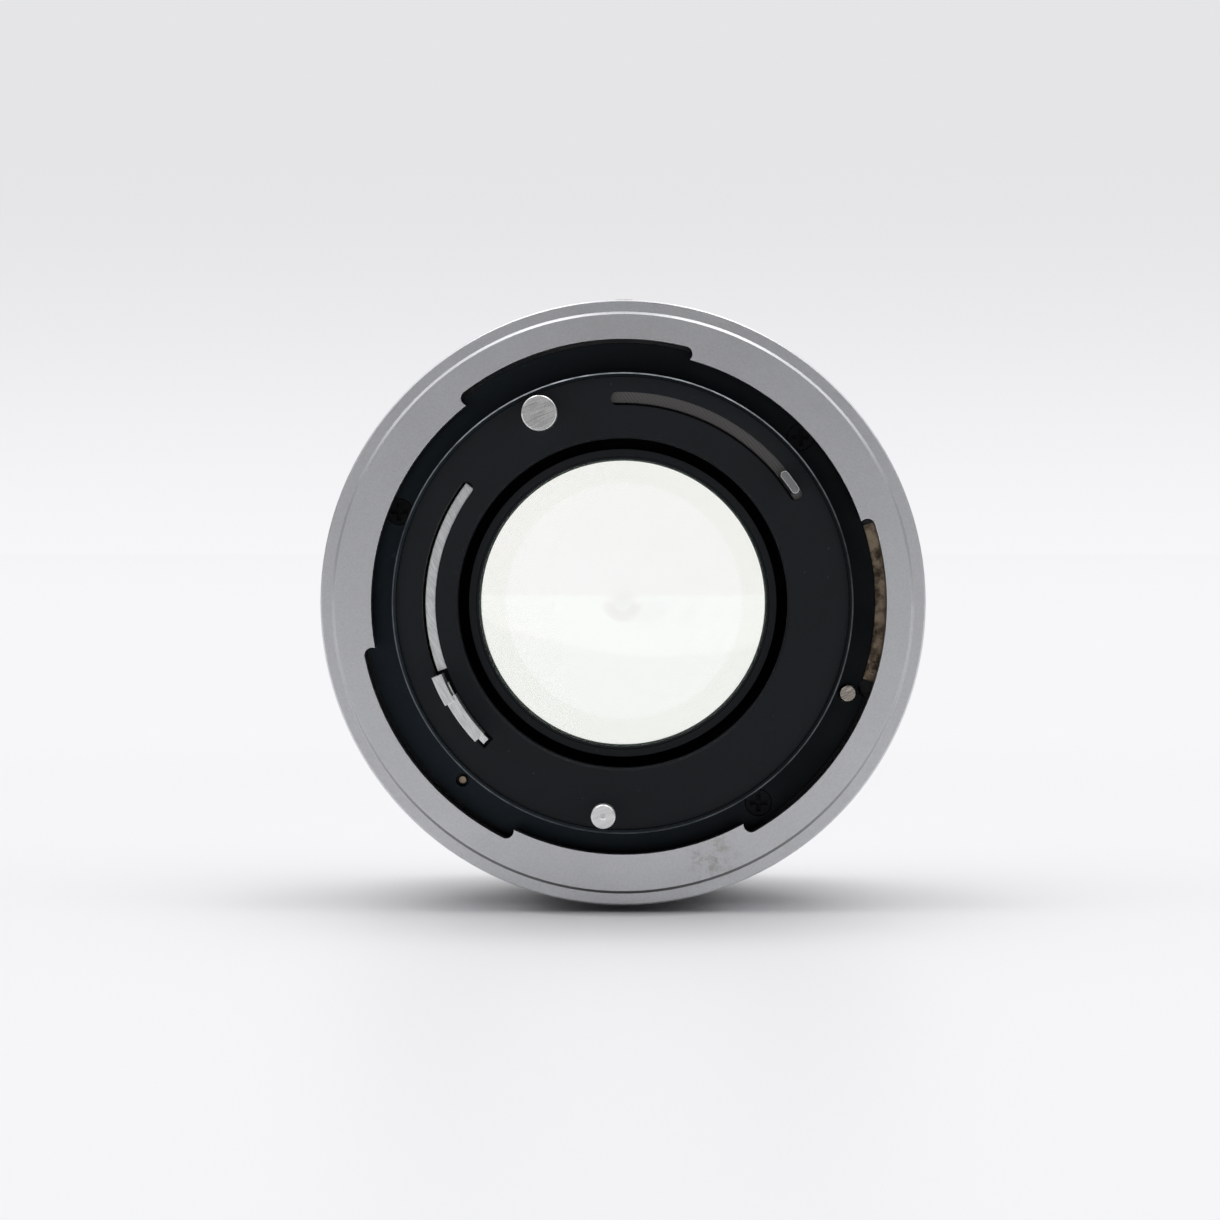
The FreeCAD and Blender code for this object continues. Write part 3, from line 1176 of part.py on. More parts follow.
click_y = aperture_back + dim.click_at
ball_centre = journal_rad + dim.click_proud - dim.click_ball_rad
click_well_floor = barrel_bore_rad + dim.edge_bevel


def main_barrel():
    """Fixed barrel that every ring is carried by."""
    snap_back = focus_back + dim.snap_ring_at
    snap_front = snap_back + dim.snap_ring_wid
    groove = helicoid_seat_rad - dim.snap_ring_deep
    body = turned(
        "main_barrel",
        [
            (arm_bore_rad, dim.flange_thick),
            (shoulder_rad, dim.flange_thick),
            (shoulder_rad, shoulder_front),
            (journal_rad, shoulder_front),
            (journal_rad, scale_front),
            (helicoid_seat_rad, scale_front),
            (helicoid_seat_rad, snap_back),
            (groove, snap_back),
            (groove, snap_front),
            (helicoid_seat_rad, snap_front),
            (helicoid_seat_rad, barrel_front),
            (barrel_bore_rad, barrel_front),
            (barrel_bore_rad, arm_bore_front),
            (arm_bore_rad, arm_bore_front),
        ],
    )
    hole = dim.flange_shank_rad + dim.pin_gap

    def wells(sketch):
        holes_at(flange_screw_pitch, hole, flange_screw_angles)(sketch)
        holes_at(lock_pin_pitch, dim.lock_collar_rad + dim.slot_gap, [dim.lock_pin_at])(sketch)
        holes_at(locating_pin_pitch, dim.locating_pin_rad + dim.seat_gap, [dim.locating_pin_at])(sketch)
        holes_at(leaf_middle, dim.leaf_shank_rad + dim.pin_gap, [dim.leaf_screw_at])(sketch)

    cut_front(body, "pin_wells", dim.flange_thick, dim.pin_well_deep, wells)
    window = (
        arm_bore_rad - dim.cut_over,
        shoulder_rad + dim.cut_over,
        dim.signal_arm_at - dim.signal_arm_sweep / 2 - dim.slot_gap_sweep,
        dim.signal_arm_sweep + dim.signal_travel + dim.slot_gap_sweep * 2,
    )
    cut_front(body, "key_window", key_back - dim.key_gap, dim.key_wid + dim.key_gap * 2, sectors(window))
    cut_inward(
        body,
        "click_well",
        journal_rad + dim.cut_over,
        journal_rad + dim.cut_over - click_well_floor,
        lambda s: disc(s, ZERO, click_y, dim.click_ball_rad + dim.pin_gap),
    )


def click_stop():
    """Ball and spring that hold the aperture ring at each half stop."""
    ball = document.addObject("Part::Sphere", "click_ball")
    ball.setExpression("Radius", dim.click_ball_rad.text)
    ball.setExpression("Placement.Base.y", click_y.text)
    ball.setExpression("Placement.Base.z", ball_centre.text)
    keep("click_ball", ball)
    length = ball_centre - dim.click_ball_rad - click_well_floor
    spring = coil("click_spring", dim.click_spring_rad, dim.click_spring_pitch, length)
    spring.setExpression("Placement.Base.y", click_y.text)
    spring.setExpression("Placement.Base.z", click_well_floor.text)


def aperture_ring():
    """Ring with the aperture numbers, a fluted grip, and click notches inside."""
    bore = journal_rad + dim.run_gap
    groove = journal_rad + dim.click_proud + dim.click_groove_gap
    half = dim.click_ball_rad + dim.click_groove_gap
    grip_front = aperture_back + dim.aperture_grip_long
    body = turned(
        "aperture_ring",
        [
            (bore, aperture_back),
            (aperture_grip_rad - dim.edge_bevel, aperture_back),
            (aperture_grip_rad, aperture_back + dim.edge_bevel),
            (aperture_grip_rad, grip_front - dim.edge_bevel),
            (aperture_grip_rad - dim.edge_bevel, grip_front),
            (aperture_ring_rad, grip_front),
            (aperture_ring_rad, aperture_front),
            (bore, aperture_front),
            (bore, click_y + half),
            (groove, click_y + half),
            (groove, click_y - half),
            (bore, click_y - half),
        ],
    )
    lift = aperture_grip_rad + dim.aperture_flute_rad - dim.aperture_flute_deep
    flute = cut_front(
        body,
        "grip_flute",
        aperture_back,
        dim.aperture_grip_long,
        holes_at(lift, dim.aperture_flute_rad, [ZERO]),
    )
    repeat(body, "grip_flutes", flute, dim.aperture_flutes)
    key = (
        bore - dim.cut_over,
        bore + dim.key_wid + dim.key_gap,
        dim.signal_arm_at - dim.signal_arm_sweep / 2 - dim.slot_gap_sweep / 5,
        dim.signal_arm_sweep + dim.slot_gap_sweep / 5 * 2,
    )
    cut_front(body, "key_notch", aperture_back, key_front + dim.key_gap - aperture_back, sectors(key))
    notch_lift = groove + dim.click_notch_deep - dim.click_notch_rad
    notch_draw = holes_at(notch_lift, dim.click_notch_rad, [Size("90")])
    notch = cut_front(body, "click_notch", click_y - half, half * 2, notch_draw)
    repeat(body, "click_notches", notch, dim.click_stops, dim.signal_travel)
    seat_top = aperture_ring_rad + dim.cut_over
    cut_inward(
        body,
        "button_seat",
        seat_top,
        seat_top - button_floor,
        lambda s: disc(s, ZERO, button_y, dim.lock_button_rad + dim.pin_gap),
        dim.lock_button_at,
    )


button_floor = journal_rad + dim.run_gap + dim.lock_button_wall
button_y = aperture_back + dim.aperture_grip_long + dim.lock_button_rad + dim.face_gap


def lock_button():
    """Small chrome button in the aperture ring that frees the automatic setting."""
    back = button_floor + dim.lock_button_travel + dim.seat_gap
    body = new_body("auto_lock_button")
    sketch = sketch_on(body, "XY_Plane", "auto_lock_button_outline", back)
    disc(sketch, ZERO, button_y, dim.lock_button_rad)
    feature = body.newObject("PartDesign::Pad", "auto_lock_button_raised")
    feature.Profile = sketch
    feature.setExpression("Length", (aperture_ring_rad + dim.lock_button_proud - back).text)
    body.Tip = feature
    turn_to(body, dim.lock_button_at)
    keep("auto_lock_button", body)


def scale_ring():
    """Fixed ring with the index and the depth-of-field scale, and its set screws."""
    bore = journal_rad + dim.seat_gap
    body = turned(
        "scale_ring",
        [
            (bore, scale_back),
            (scale_ring_low, scale_back),
            (scale_ring_rad, scale_front - dim.edge_bevel),
            (scale_ring_rad - dim.edge_bevel, scale_front),
            (bore, scale_front),
        ],
    )
    middle = (scale_back + scale_front) / 2
    hole = cut_inward(
        body,
        "scale_screw_hole",
        scale_ring_rad + dim.cut_over,
        scale_ring_rad + dim.cut_over - journal_rad,
        lambda s: disc(s, ZERO, middle, dim.set_screw_rad + dim.seat_gap),
        dim.set_screw_turn,
    )
    repeat(body, "scale_screw_holes", hole, Size("3"))
    set_screws("scale_ring_screws", journal_rad, scale_ring_low - dim.seat_gap, middle)


def set_screws(label, inner, outer, along):
    """Three slotted set screws, a third of a turn apart and clear of the index on top."""
    screws = []
    for number in range(3):
        body = new_body(f"{label}_{number + 1}")
        sketch = sketch_on(body, "XY_Plane", f"{label}_{number + 1}_outline", inner)
        disc(sketch, ZERO, along, dim.set_screw_rad)
        shank = body.newObject("PartDesign::Pad", f"{label}_{number + 1}_shank")
        shank.Profile = sketch
        shank.setExpression("Length", (outer - inner).text)
        body.Tip = shank
        half = dim.set_screw_rad * 0.18
        reach = dim.set_screw_rad * 1.2

        def slot(drawing, half=half, reach=reach):
            near = along - half
            far = along + half
            outline(drawing, [(-reach, near), (reach, near), (reach, far), (-reach, far)])

        cut_inward(body, f"{label}_{number + 1}_slot", outer, dim.set_screw_rad * 0.6, slot)
        turn_to(body, dim.set_screw_turn + Size(str(120 * number)))
        screws.append(body)
    group(label, screws)


def focusing_helicoid():
    """Bronze sleeve that turns on the main barrel; its narrow front drives the inner barrel."""
    bore = helicoid_seat_rad + dim.run_gap
    thread = carrier_rad + dim.thread_gap
    web_front = web_back + dim.web_thick
    snap_back = focus_back + dim.snap_ring_at - dim.snap_gap
    snap_front = focus_back + dim.snap_ring_at + dim.snap_ring_wid + dim.snap_gap
    groove = helicoid_seat_rad + dim.snap_ring_proud + dim.snap_gap
    turned(
        "focus_helicoid",
        [
            (bore, focus_back),
            (focus_ring_in, focus_back),
            (focus_ring_in, web_front),
            (thread + dim.thread_wall, web_front),
            (thread + dim.thread_wall, helicoid_front),
            (thread, helicoid_front),
            (thread, web_back),
            (bore, web_back),
            (bore, snap_front),
            (groove, snap_front),
            (groove, snap_back),
            (bore, snap_back),
        ],
    )
    ring_back = focus_back + dim.snap_ring_at
    inner = helicoid_seat_rad - dim.snap_ring_deep
    outer = helicoid_seat_rad + dim.snap_ring_proud
    snap = tube("helicoid_snap_ring", inner, outer, ring_back, ring_back + dim.snap_ring_wid)
    gap = (inner - dim.cut_over, outer + dim.cut_over, dim.leaf_from, dim.prong_sweep)
    cut_front(snap, "snap_ring_gap", ring_back, dim.snap_ring_wid, sectors(gap))


def focus_ring():
    """Focusing ring with the distance scale, its rubber grip and its set screws."""
    bore = focus_ring_in + dim.seat_gap
    band_front = focus_back + dim.focus_band_long
    lip_back = focus_front - dim.focus_lip_long
    body = turned(
        "focus_ring",
        [
            (bore, focus_back),
            (focus_band_rad - dim.edge_bevel, focus_back),
            (focus_band_rad, focus_back + dim.edge_bevel),
            (focus_band_rad, band_front),
            (focus_ring_rad, band_front),
            (focus_ring_rad, lip_back),
            (focus_band_rad, lip_back),
            (focus_band_rad, focus_front - dim.edge_bevel),
            (focus_band_rad - dim.edge_bevel, focus_front),
            (bore, focus_front),
        ],
    )
    screw_y = focus_back + dim.focus_band_long / 2
    hole = cut_inward(
        body,
        "focus_screw_hole",
        focus_band_rad + dim.cut_over,
        focus_band_rad + dim.cut_over - focus_ring_in,
        lambda s: disc(s, ZERO, screw_y, dim.set_screw_rad + dim.seat_gap),
        dim.set_screw_turn,
    )
    repeat(body, "focus_screw_holes", hole, Size("3"))
    set_screws("focus_ring_screws", focus_ring_in, focus_band_rad - dim.edge_bevel, screw_y)
    grip_back = band_front + dim.seat_gap
    grip_front = lip_back - dim.seat_gap
    grip = tube("focus_grip", focus_ring_rad + dim.seat_gap, grip_rad, grip_back, grip_front)
    floor = grip_rad - dim.grip_deep
    start = Size("270") - dim.grip_valley / 2
    valley = cut_front(
        grip,
        "grip_valley",
        grip_back,
        grip_front - grip_back,
        sectors((floor, grip_rad + dim.cut_over, start, dim.grip_valley)),
    )
    repeat(grip, "grip_valleys", valley, dim.grip_lands)


def inner_barrel():
    """Helicoid carrier that moves along the axis, with two guide slots, and the guide keys."""
    body = turned(
        "helicoid_carrier",
        [
            (carrier_bore, carrier_back),
            (carrier_rad, carrier_back),
            (carrier_rad, carrier_lip_back),
            (carrier_lip_rad, carrier_lip_back),
            (carrier_lip_rad, carrier_front),
            (carrier_bore, carrier_front),
        ],
    )
    floor = carrier_rad - dim.key_slot_deep
    half = dim.guide_key_wid / 2 + dim.guide_key_gap
    key_end = barrel_front - dim.face_gap
    slot_long = key_end + dim.face_gap - carrier_back

    top = carrier_rad + dim.cut_over

    def slot(sketch):
        corners = [(-half, floor), (half, floor), (half, top), (-half, top)]
        outline(sketch, corners)

    cutter = cut_front(body, "guide_slot", carrier_back, slot_long, slot)
    repeat(body, "guide_slots", cutter, Size("2"))
    hole = dim.front_screw_rad + dim.pin_gap
    holes = holes_at(front_screw_pitch, hole, front_screw_angles)
    cut_front(body, "front_screw_holes", carrier_lip_back, dim.carrier_lip_thick, holes)
    keys = []
    for number in range(2):
        key = new_body(f"guide_key_{number + 1}")
        bottom = floor + dim.guide_key_gap
        half_key = dim.guide_key_wid / 2
        top = barrel_bore_rad - dim.seat_gap * 5

        def face(sketch, bottom=bottom, half_key=half_key, top=top):
            outline(sketch, [(-half_key, bottom), (half_key, bottom), (half_key, top), (-half_key, top)])

        pad_back(key, f"guide_key_{number + 1}_bar", key_end, dim.guide_key_long, face)
        turn_to(key, Size(str(180 * number)))
        keys.append(key)
    group("guide_keys", keys)


def front_barrel():
    """Front barrel with skirt, filter thread and hood groove, and its screws."""
    skirt_back = web_back + dim.web_thick + dim.skirt_gap
    inside = skirt_rad - dim.skirt_wall
    rim_back = front_rim - dim.rim_long
    groove_back = rim_back - dim.hood_groove_wid
    thread_floor = filter_rad - dim.filter_step
    body = turned(
        "front_barrel",
        [
            (inside, skirt_back),
            (skirt_rad, skirt_back),
            (skirt_rad, groove_back),
            (skirt_rad - dim.hood_groove_deep, groove_back),
            (skirt_rad - dim.hood_groove_deep, rim_back),
            (rim_rad, rim_back),
            (rim_rad, front_rim - dim.edge_bevel),
            (rim_rad - dim.edge_bevel, front_rim),
            (filter_rad, front_rim),
            (filter_rad, filter_back),
            (thread_floor, filter_back),
            (thread_floor, front_web_front),
            (carrier_bore, front_web_front),
            (carrier_bore, carrier_front),
            (inside, carrier_front),
        ],
    )
    hole = dim.front_screw_rad + dim.pin_gap
    sink = dim.front_head_rad + dim.pin_gap
    pitch = front_screw_pitch
    holes = holes_at(pitch, hole, front_screw_angles)
    cut_front(body, "web_screw_holes", carrier_front, dim.front_web_thick, holes)
    head_back = front_web_front - dim.front_head_tall
    sinks = holes_at(pitch, sink, front_screw_angles)
    cut_front(body, "web_screw_sinks", head_back, dim.front_head_tall, sinks)
    screws = []
    for number, angle in enumerate(front_screw_angles, start=1):
        end = head_back - dim.front_shank_long
        points = [
            (ZERO, end),
            (dim.front_screw_rad, end),
            (dim.front_screw_rad, head_back),
            (dim.front_head_rad, head_back),
            (dim.front_head_rad, front_web_front),
            (ZERO, front_web_front),
        ]
        screw = turned(f"front_screw_{number}", points, (), False)
        move_out(screw, pitch, angle)
        screws.append(screw)
    group("front_barrel_screws", screws)
    back = front_web_front + dim.cell_lip_thick + dim.cell_gap
    outer = thread_floor - dim.seat_gap
    turned(
        "front_bezel",
        [
            (bezel_in, back),
            (outer, back),
            (outer, back + dim.bezel_thick),
            (bezel_in, back + dim.bezel_thick - dim.bezel_slope),
        ],
    )


# Vertices and edges of the glass along the axis, from the rear through the iris to the front.
seven_back = -dim.rear_vertex
seven_front = seven_back + dim.glass_seven_thick
six_back = seven_front + dim.air_six
six_front = six_back + dim.glass_six_thick
five_back = six_front + dim.air_five
five_front = five_back + dim.glass_five_thick
four_back = five_front + dim.cement_gap
four_front = four_back + dim.glass_four_thick
four_rim = four_front + sag(glass_four_front_curve, glass_four_clear)
neck_lip_back = four_rim + dim.seat_gap
neck_lip_front = neck_lip_back + dim.rear_lip_thick
blades_back = neck_lip_front + dim.lip_blade_gap
cam_front = blades_back - dim.cam_gap
cam_back = cam_front - dim.cam_thick
keeper_front = cam_back - dim.lever_gap / 2
keeper_back = keeper_front - dim.keeper_thick
housing_back = keeper_back - dim.flange_room
arm_front = cam_back - dim.arm_end_gap
top_level = blades_back + dim.blade_thick + dim.blade_pitch * (dim.blade_count - 1)
floor_back = top_level + dim.cell_gap
housing_front = floor_back + dim.housing_floor
cell_back = housing_front + dim.cell_gap
three_rim = cell_back + dim.middle_retainer_thick + dim.glass_gap
three_back = three_rim + sag(glass_three_back_curve, glass_three_clear)
three_front = three_back + dim.glass_three_thick
two_back = three_front + dim.air_two
two_front = two_back + dim.glass_two_thick
one_back = two_front + dim.air_one
one_front = one_back + dim.glass_one_thick
one_edge_front = one_front - sag(glass_one_front_curve, glass_one_rad)
one_edge_back = one_back - sag(glass_one_back_curve, glass_one_rad)
two_edge_front = two_front - sag(glass_two_front_curve, glass_two_rad)
two_edge_back = two_back - sag(glass_two_back_curve, glass_two_rad)
three_edge_front = three_front - sag(glass_three_front_curve, glass_three_rad)
four_edge_back = four_back - sag(cement_curve, glass_four_rad)
five_edge_front = five_front - sag(cement_curve, glass_five_rad)
five_edge_back = five_back + sag(glass_five_back_curve, glass_five_rad)
six_edge_front = six_front + sag(glass_six_front_curve, glass_six_rad)
six_edge_back = six_back + sag(glass_six_back_curve, glass_six_rad)
seven_edge_front = seven_front - sag(glass_seven_front_curve, dim.glass_seven_rad)
seven_edge_back = seven_back + sag(glass_seven_back_curve, dim.glass_seven_rad)


def element(label, back, edge_back, radius, edge_front, front):
    """One lens with two curved faces."""
    points = [(ZERO, back), (radius, edge_back), (radius, edge_front), (ZERO, front)]
    turned(label, points, (0, 2))


def glass():
    """Seven elements in six groups, numbered from the front."""
    element("glass_element_1", one_back, one_edge_back, glass_one_rad, one_edge_front, one_front)
    element("glass_element_2", two_back, two_edge_back, glass_two_rad, two_edge_front, two_front)
    turned(
        "glass_element_3",
        [
            (ZERO, three_back),
            (glass_three_clear, three_rim),
            (glass_three_rad, three_rim),
            (glass_three_rad, three_edge_front),
            (ZERO, three_front),
        ],
        (0, 3),
    )
    turned(
        "glass_element_4",
        [
            (ZERO, four_back),
            (glass_four_rad, four_edge_back),
            (glass_four_rad, four_rim),
            (glass_four_clear, four_rim),
            (ZERO, four_front),
        ],
        (0, 3),
    )
    element("glass_element_5", five_back, five_edge_back, glass_five_rad, five_edge_front, five_front)
    element("glass_element_6", six_back, six_edge_back, glass_six_rad, six_edge_front, six_front)
    seven_rad = dim.glass_seven_rad
    element("glass_element_7", seven_back, seven_edge_back, seven_rad, seven_edge_front, seven_front)



def front_cell():
    """Cell of the first three elements, with its spacer and the two retaining rings."""
    outer = housing_rad
    cell_lip_front = front_web_front + dim.cell_lip_thick
    one_bore = glass_one_rad + dim.glass_gap
    two_bore = glass_two_rad + dim.glass_gap
    three_bore = glass_three_rad + dim.glass_gap
    ledge_one = one_edge_back - dim.seat_gap
    ledge_two = two_edge_back - dim.seat_gap
    ledge_rad = glass_three_rad - dim.glass_three_ledge
    ledge_three = three_front - sag(glass_three_front_curve, ledge_rad) + dim.seat_gap
    turned(
        "front_cell",
        [
            (three_bore, cell_back),
            (outer, cell_back),
            (outer, front_web_front),
            (cell_lip_rad, front_web_front),
            (cell_lip_rad, cell_lip_front),
            (one_bore + dim.glass_two_ledge / 2, cell_lip_front),
            (one_bore, cell_lip_front - dim.glass_two_ledge),
            (one_bore, ledge_one),
            (two_bore, ledge_one),
            (two_bore, ledge_two),
            (glass_two_rad - dim.glass_two_ledge, ledge_two),
            (glass_two_rad - dim.glass_two_ledge, ledge_three + dim.glass_three_ledge_thick),
            (ledge_rad, ledge_three + dim.glass_three_ledge_thick),
            (ledge_rad, ledge_three),
            (three_bore, ledge_three),
        ],
    )
    inner = glass_one_rad - dim.retainer_wid
    on_glass = one_front - sag(glass_one_front_curve, inner) + dim.glass_gap
    turned(
        "front_retaining_ring",
        [
            (inner, on_glass),
            (glass_one_rad, one_edge_front + dim.glass_gap),
            (glass_one_rad, one_edge_front + dim.retainer_long),
            (inner + dim.retainer_wid / 2, one_edge_front + dim.retainer_long),
        ],
    )
    inner = glass_two_rad - dim.spacer_wall
    turned(
        "front_spacer",
        [
            (inner, two_front - sag(glass_two_front_curve, inner) + dim.glass_gap),
            (glass_two_rad, two_edge_front + dim.glass_gap),
            (glass_two_rad, one_edge_back - dim.glass_gap),
            (inner, one_edge_back - dim.glass_gap),
        ],
    )
    tube("middle_retaining_ring", iris_clear, glass_three_rad, cell_back, three_rim - dim.glass_gap)


def blade_angle(number):
    """The angle of one blade's pivot."""
    return Size(f"(360 / Dims.blade_count * {number})")


blade_total = int(dim.blade_count.number)


def iris_housing():
    """Cup that holds the blades, with one pivot hole for each."""
    body = turned(
        "iris_housing",
        [
            (housing_in, housing_back),
            (housing_rad, housing_back),
            (housing_rad, housing_front),
            (iris_clear, housing_front),
            (iris_clear, floor_back),
            (housing_in, floor_back),
        ],
    )
    hole = cut_front(
        body,
        "pivot_hole",
        floor_back,
        dim.housing_floor,
        holes_at(pivot_pitch, dim.pivot_rad + dim.stud_gap / 4, [ZERO]),
    )
    repeat(body, "pivot_holes", hole, dim.blade_count)
    keeper_out = housing_in - dim.seat_gap
    tube("cam_keeper", keeper_out - dim.keeper_wid, keeper_out, keeper_back, keeper_front)


def iris_blade(number):
    """One crescent blade on its own level, with a pivot stud before it and a drive stud behind."""
    label = f"iris_blade_{number + 1}"
    body = new_body(label)
    front = top_level - dim.blade_pitch * number
    back = front - dim.blade_thick

    def crescent(sketch):
        corners = [
            (blade_in, -dim.blade_tail),
            (blade_in, dim.blade_sweep),
            (blade_out, dim.blade_sweep),
            (blade_out, dim.blade_root_sweep),
            (blade_root_rad, dim.blade_root_sweep),
            (blade_root_rad, -dim.blade_root_sweep),
            (blade_tail_rad, -dim.blade_tail),
        ]
        polar_outline(sketch, corners, (0, 2, 4))

    pad_back(body, f"{label}_leaf", front, dim.blade_thick, crescent)
    pivot_front = floor_back + dim.pivot_deep

    def pivot(sketch):
        disc(sketch, pivot_pitch, ZERO, dim.pivot_rad)

    pad_back(body, f"{label}_pivot", pivot_front, pivot_front - back, pivot)
    stud_back = cam_front - dim.stud_deep

    def stud(sketch):
        across = pivot_pitch + dim.stud_arm * cos(dim.stud_lean)
        up = -(dim.stud_arm * sin(dim.stud_lean))
        disc(sketch, across, up, dim.stud_rad)

    pad_back(body, f"{label}_stud", front, front - stud_back, stud)
    turn_to(body, blade_angle(number))
    keep(label, body)


def cam_path(turn):
    """Where a drive stud lies in the cam ring when the ring has turned by this many degrees."""
    share = dim.blade_travel.number / dim.auto_travel.number
    lean = math.radians(share * turn - dim.stud_lean.number)
    across = pivot_pitch.number + dim.stud_arm.number * math.cos(lean)
    up = dim.stud_arm.number * math.sin(lean)
    angle = math.radians(turn)
    return FreeCAD.Vector(
        across * math.cos(angle) - up * math.sin(angle), 0, across * math.sin(angle) + up * math.cos(angle)
    )


def cam_slot():
    """The face of one cam slot: the stud's path, widened to the stud and its clearance."""
    half = dim.stud_rad.number + dim.stud_gap.number
    steps = 12
    travel = dim.auto_travel.number
    middle = [cam_path(travel * step / steps) for step in range(steps + 1)]
    nudge = travel / steps / 10
    ways = []
    for step in range(steps + 1):
        turn = travel * step / steps
        way = cam_path(turn + nudge) - cam_path(turn - nudge)
        ways.append(way.normalize())
    sides = []
    for sign in (1, -1):
        side = []
        for point, way in zip(middle, ways):
            side.append(point + FreeCAD.Vector(-way.z, 0, way.x) * half * sign)
        sides.append(side)
    edges = []
    for side in sides:
        curve = Part.BSplineCurve()
        curve.interpolate(side)
        edges.append(curve.toShape())
    edges.append(Part.Arc(sides[0][0], middle[0] - ways[0] * half, sides[1][0]).toShape())
    edges.append(Part.Arc(sides[0][-1], middle[-1] + ways[-1] * half, sides[1][-1]).toShape())
    return Part.Face(Part.Wire(Part.__sortEdges__(edges)))


def iris_cam():
    """Cam ring with one slot for each blade and a fork of two prongs for the lever's arm."""
    blank = tube("cam_blank", cam_bore, cam_rad, cam_back, cam_front, False)
    prong_back = arm_front - dim.focus_travel - dim.prong_hold
    side = dim.auto_arm_sweep / 2 + dim.prong_gap_sweep
    arm_in = auto_arm_in - dim.slot_gap / 2
    arm_out = auto_arm_out + dim.slot_gap / 2
    prongs = sectors(
        (arm_in, arm_out, dim.auto_arm_at + side, dim.prong_sweep),
        (arm_in, arm_out, dim.auto_arm_at - side - dim.prong_sweep, dim.prong_sweep),
    )
    pad_back(blank, "cam_prongs", cam_back, cam_back - prong_back, prongs)
    face = cam_slot()
    one = face.extrude(AXIS_FRONT * dim.cam_thick.number)
    one.translate(FreeCAD.Vector(0, cam_back.number, 0))
    cutters = []
    for number in range(blade_total):
        copy = one.copy()
        copy.rotate(FreeCAD.Vector(0, 0, 0), AXIS_BACK, blade_angle(number).number)
        cutters.append(copy)
    slots = document.addObject("Part::Feature", "cam_slots")
    slots.Shape = Part.makeCompound(cutters)
    ring = document.addObject("Part::Cut", "iris_cam_ring")
    ring.Base = blank
    ring.Tool = slots
    keep("iris_cam_ring", ring)


def rear_cell():
    """Cell of the last four elements, with its flange, spacers and retaining ring."""
    four_bore = glass_four_rad + dim.glass_gap
    five_bore = glass_five_rad + dim.glass_gap
    six_bore = glass_six_rad + dim.glass_gap
    seven_bore = dim.glass_seven_rad + dim.glass_gap
    flange_back = housing_back - dim.rear_flange_thick
    end = seven_back - dim.rear_cell_end
    ledge_five = five_front - sag(cement_curve, four_bore) + dim.seat_gap
    ledge_six = six_edge_front + dim.seat_gap
    ledge_seven = seven_front - sag(glass_seven_front_curve, six_bore) + dim.seat_gap
    body = turned(
        "rear_cell",
        [
            (seven_bore, end),
            (rear_cell_rad, end),
            (rear_cell_rad, flange_back),
            (housing_rad, flange_back),
            (housing_rad, housing_back),
            (rear_neck_rad, housing_back),
            (rear_neck_rad, neck_lip_front),
            (rear_lip_rad, neck_lip_front),
            (rear_lip_rad, neck_lip_back),
            (four_bore, neck_lip_back),
            (four_bore, ledge_five),
            (five_bore, ledge_five),
            (five_bore, ledge_six),
            (six_bore, ledge_six),
            (six_bore, ledge_seven),
            (seven_bore, ledge_seven),
        ],
    )
    fork = dim.auto_arm_sweep + dim.prong_gap_sweep * 2 + dim.prong_sweep * 2
    window = arm_slot(
        auto_arm_in - dim.slot_gap / 2,
        auto_arm_out + dim.slot_gap / 2,
        dim.auto_arm_at - dim.auto_travel,
        fork,
        dim.auto_travel,
    )
    cut_front(body, "fork_window", flange_back, dim.rear_flange_thick, sectors(window))
    inner = glass_five_rad - dim.spacer_wall
    turned(
        "rear_spacer_front",
        [
            (inner, ledge_six),
            (glass_five_rad, ledge_six),
            (glass_five_rad, five_edge_back - dim.glass_gap),
            (inner, five_back + sag(glass_five_back_curve, inner) - dim.glass_gap),
        ],
    )
    inner = glass_six_rad - dim.rear_spacer_wall
    turned(
        "rear_spacer_back",
        [
            (inner, seven_front - sag(glass_seven_front_curve, inner) + dim.glass_gap),
            (glass_six_rad, ledge_seven + dim.glass_gap),
            (glass_six_rad, six_edge_back - dim.glass_gap),
            (inner, six_back + sag(glass_six_back_curve, inner) - dim.glass_gap),
        ],
    )
    retainer_front = seven_back + sag(glass_seven_back_curve, rear_retainer_in) - dim.glass_gap
    turned(
        "rear_retaining_ring",
        [
            (rear_retainer_in, end),
            (dim.glass_seven_rad, end),
            (dim.glass_seven_rad, seven_edge_back - dim.glass_gap),
            (rear_retainer_in, retainer_front),
        ],
    )


mount_flange()
flange_fasteners()
lock_spring()
breech_ring()
light_baffle()
rear_pins()
lever_deck()
signal_lever()
auto_lever()
flange_pins()
lock_pin_spring()
main_barrel()
click_stop()
aperture_ring()
lock_button()
scale_ring()
focusing_helicoid()
focus_ring()
inner_barrel()
front_barrel()
glass()
front_cell()
iris_housing()
for blade_number in range(blade_total):
    iris_blade(blade_number)
iris_cam()
rear_cell()
document.recompute()

for thing in document.Objects:
    for state in ("Invalid", "Error"):
        if state in thing.State:
            raise RuntimeError(f"{thing.Label} is {state}")
for label, thing in parts.items():
    if thing.Shape.isNull() or not thing.Shape.isValid():
        raise RuntimeError(f"{label} has no valid shape")

os.makedirs("parts", exist_ok=True)
for label, thing in parts.items():
    thing.Shape.exportStep(os.path.join("parts", f"{label}.step"))
    print(label, len(thing.Shape.Solids), round(thing.Shape.Volume, 2))
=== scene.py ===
"""A standard prime lens seen from its mount: finishes, scales, rubber grip and studio round the part."""

import math

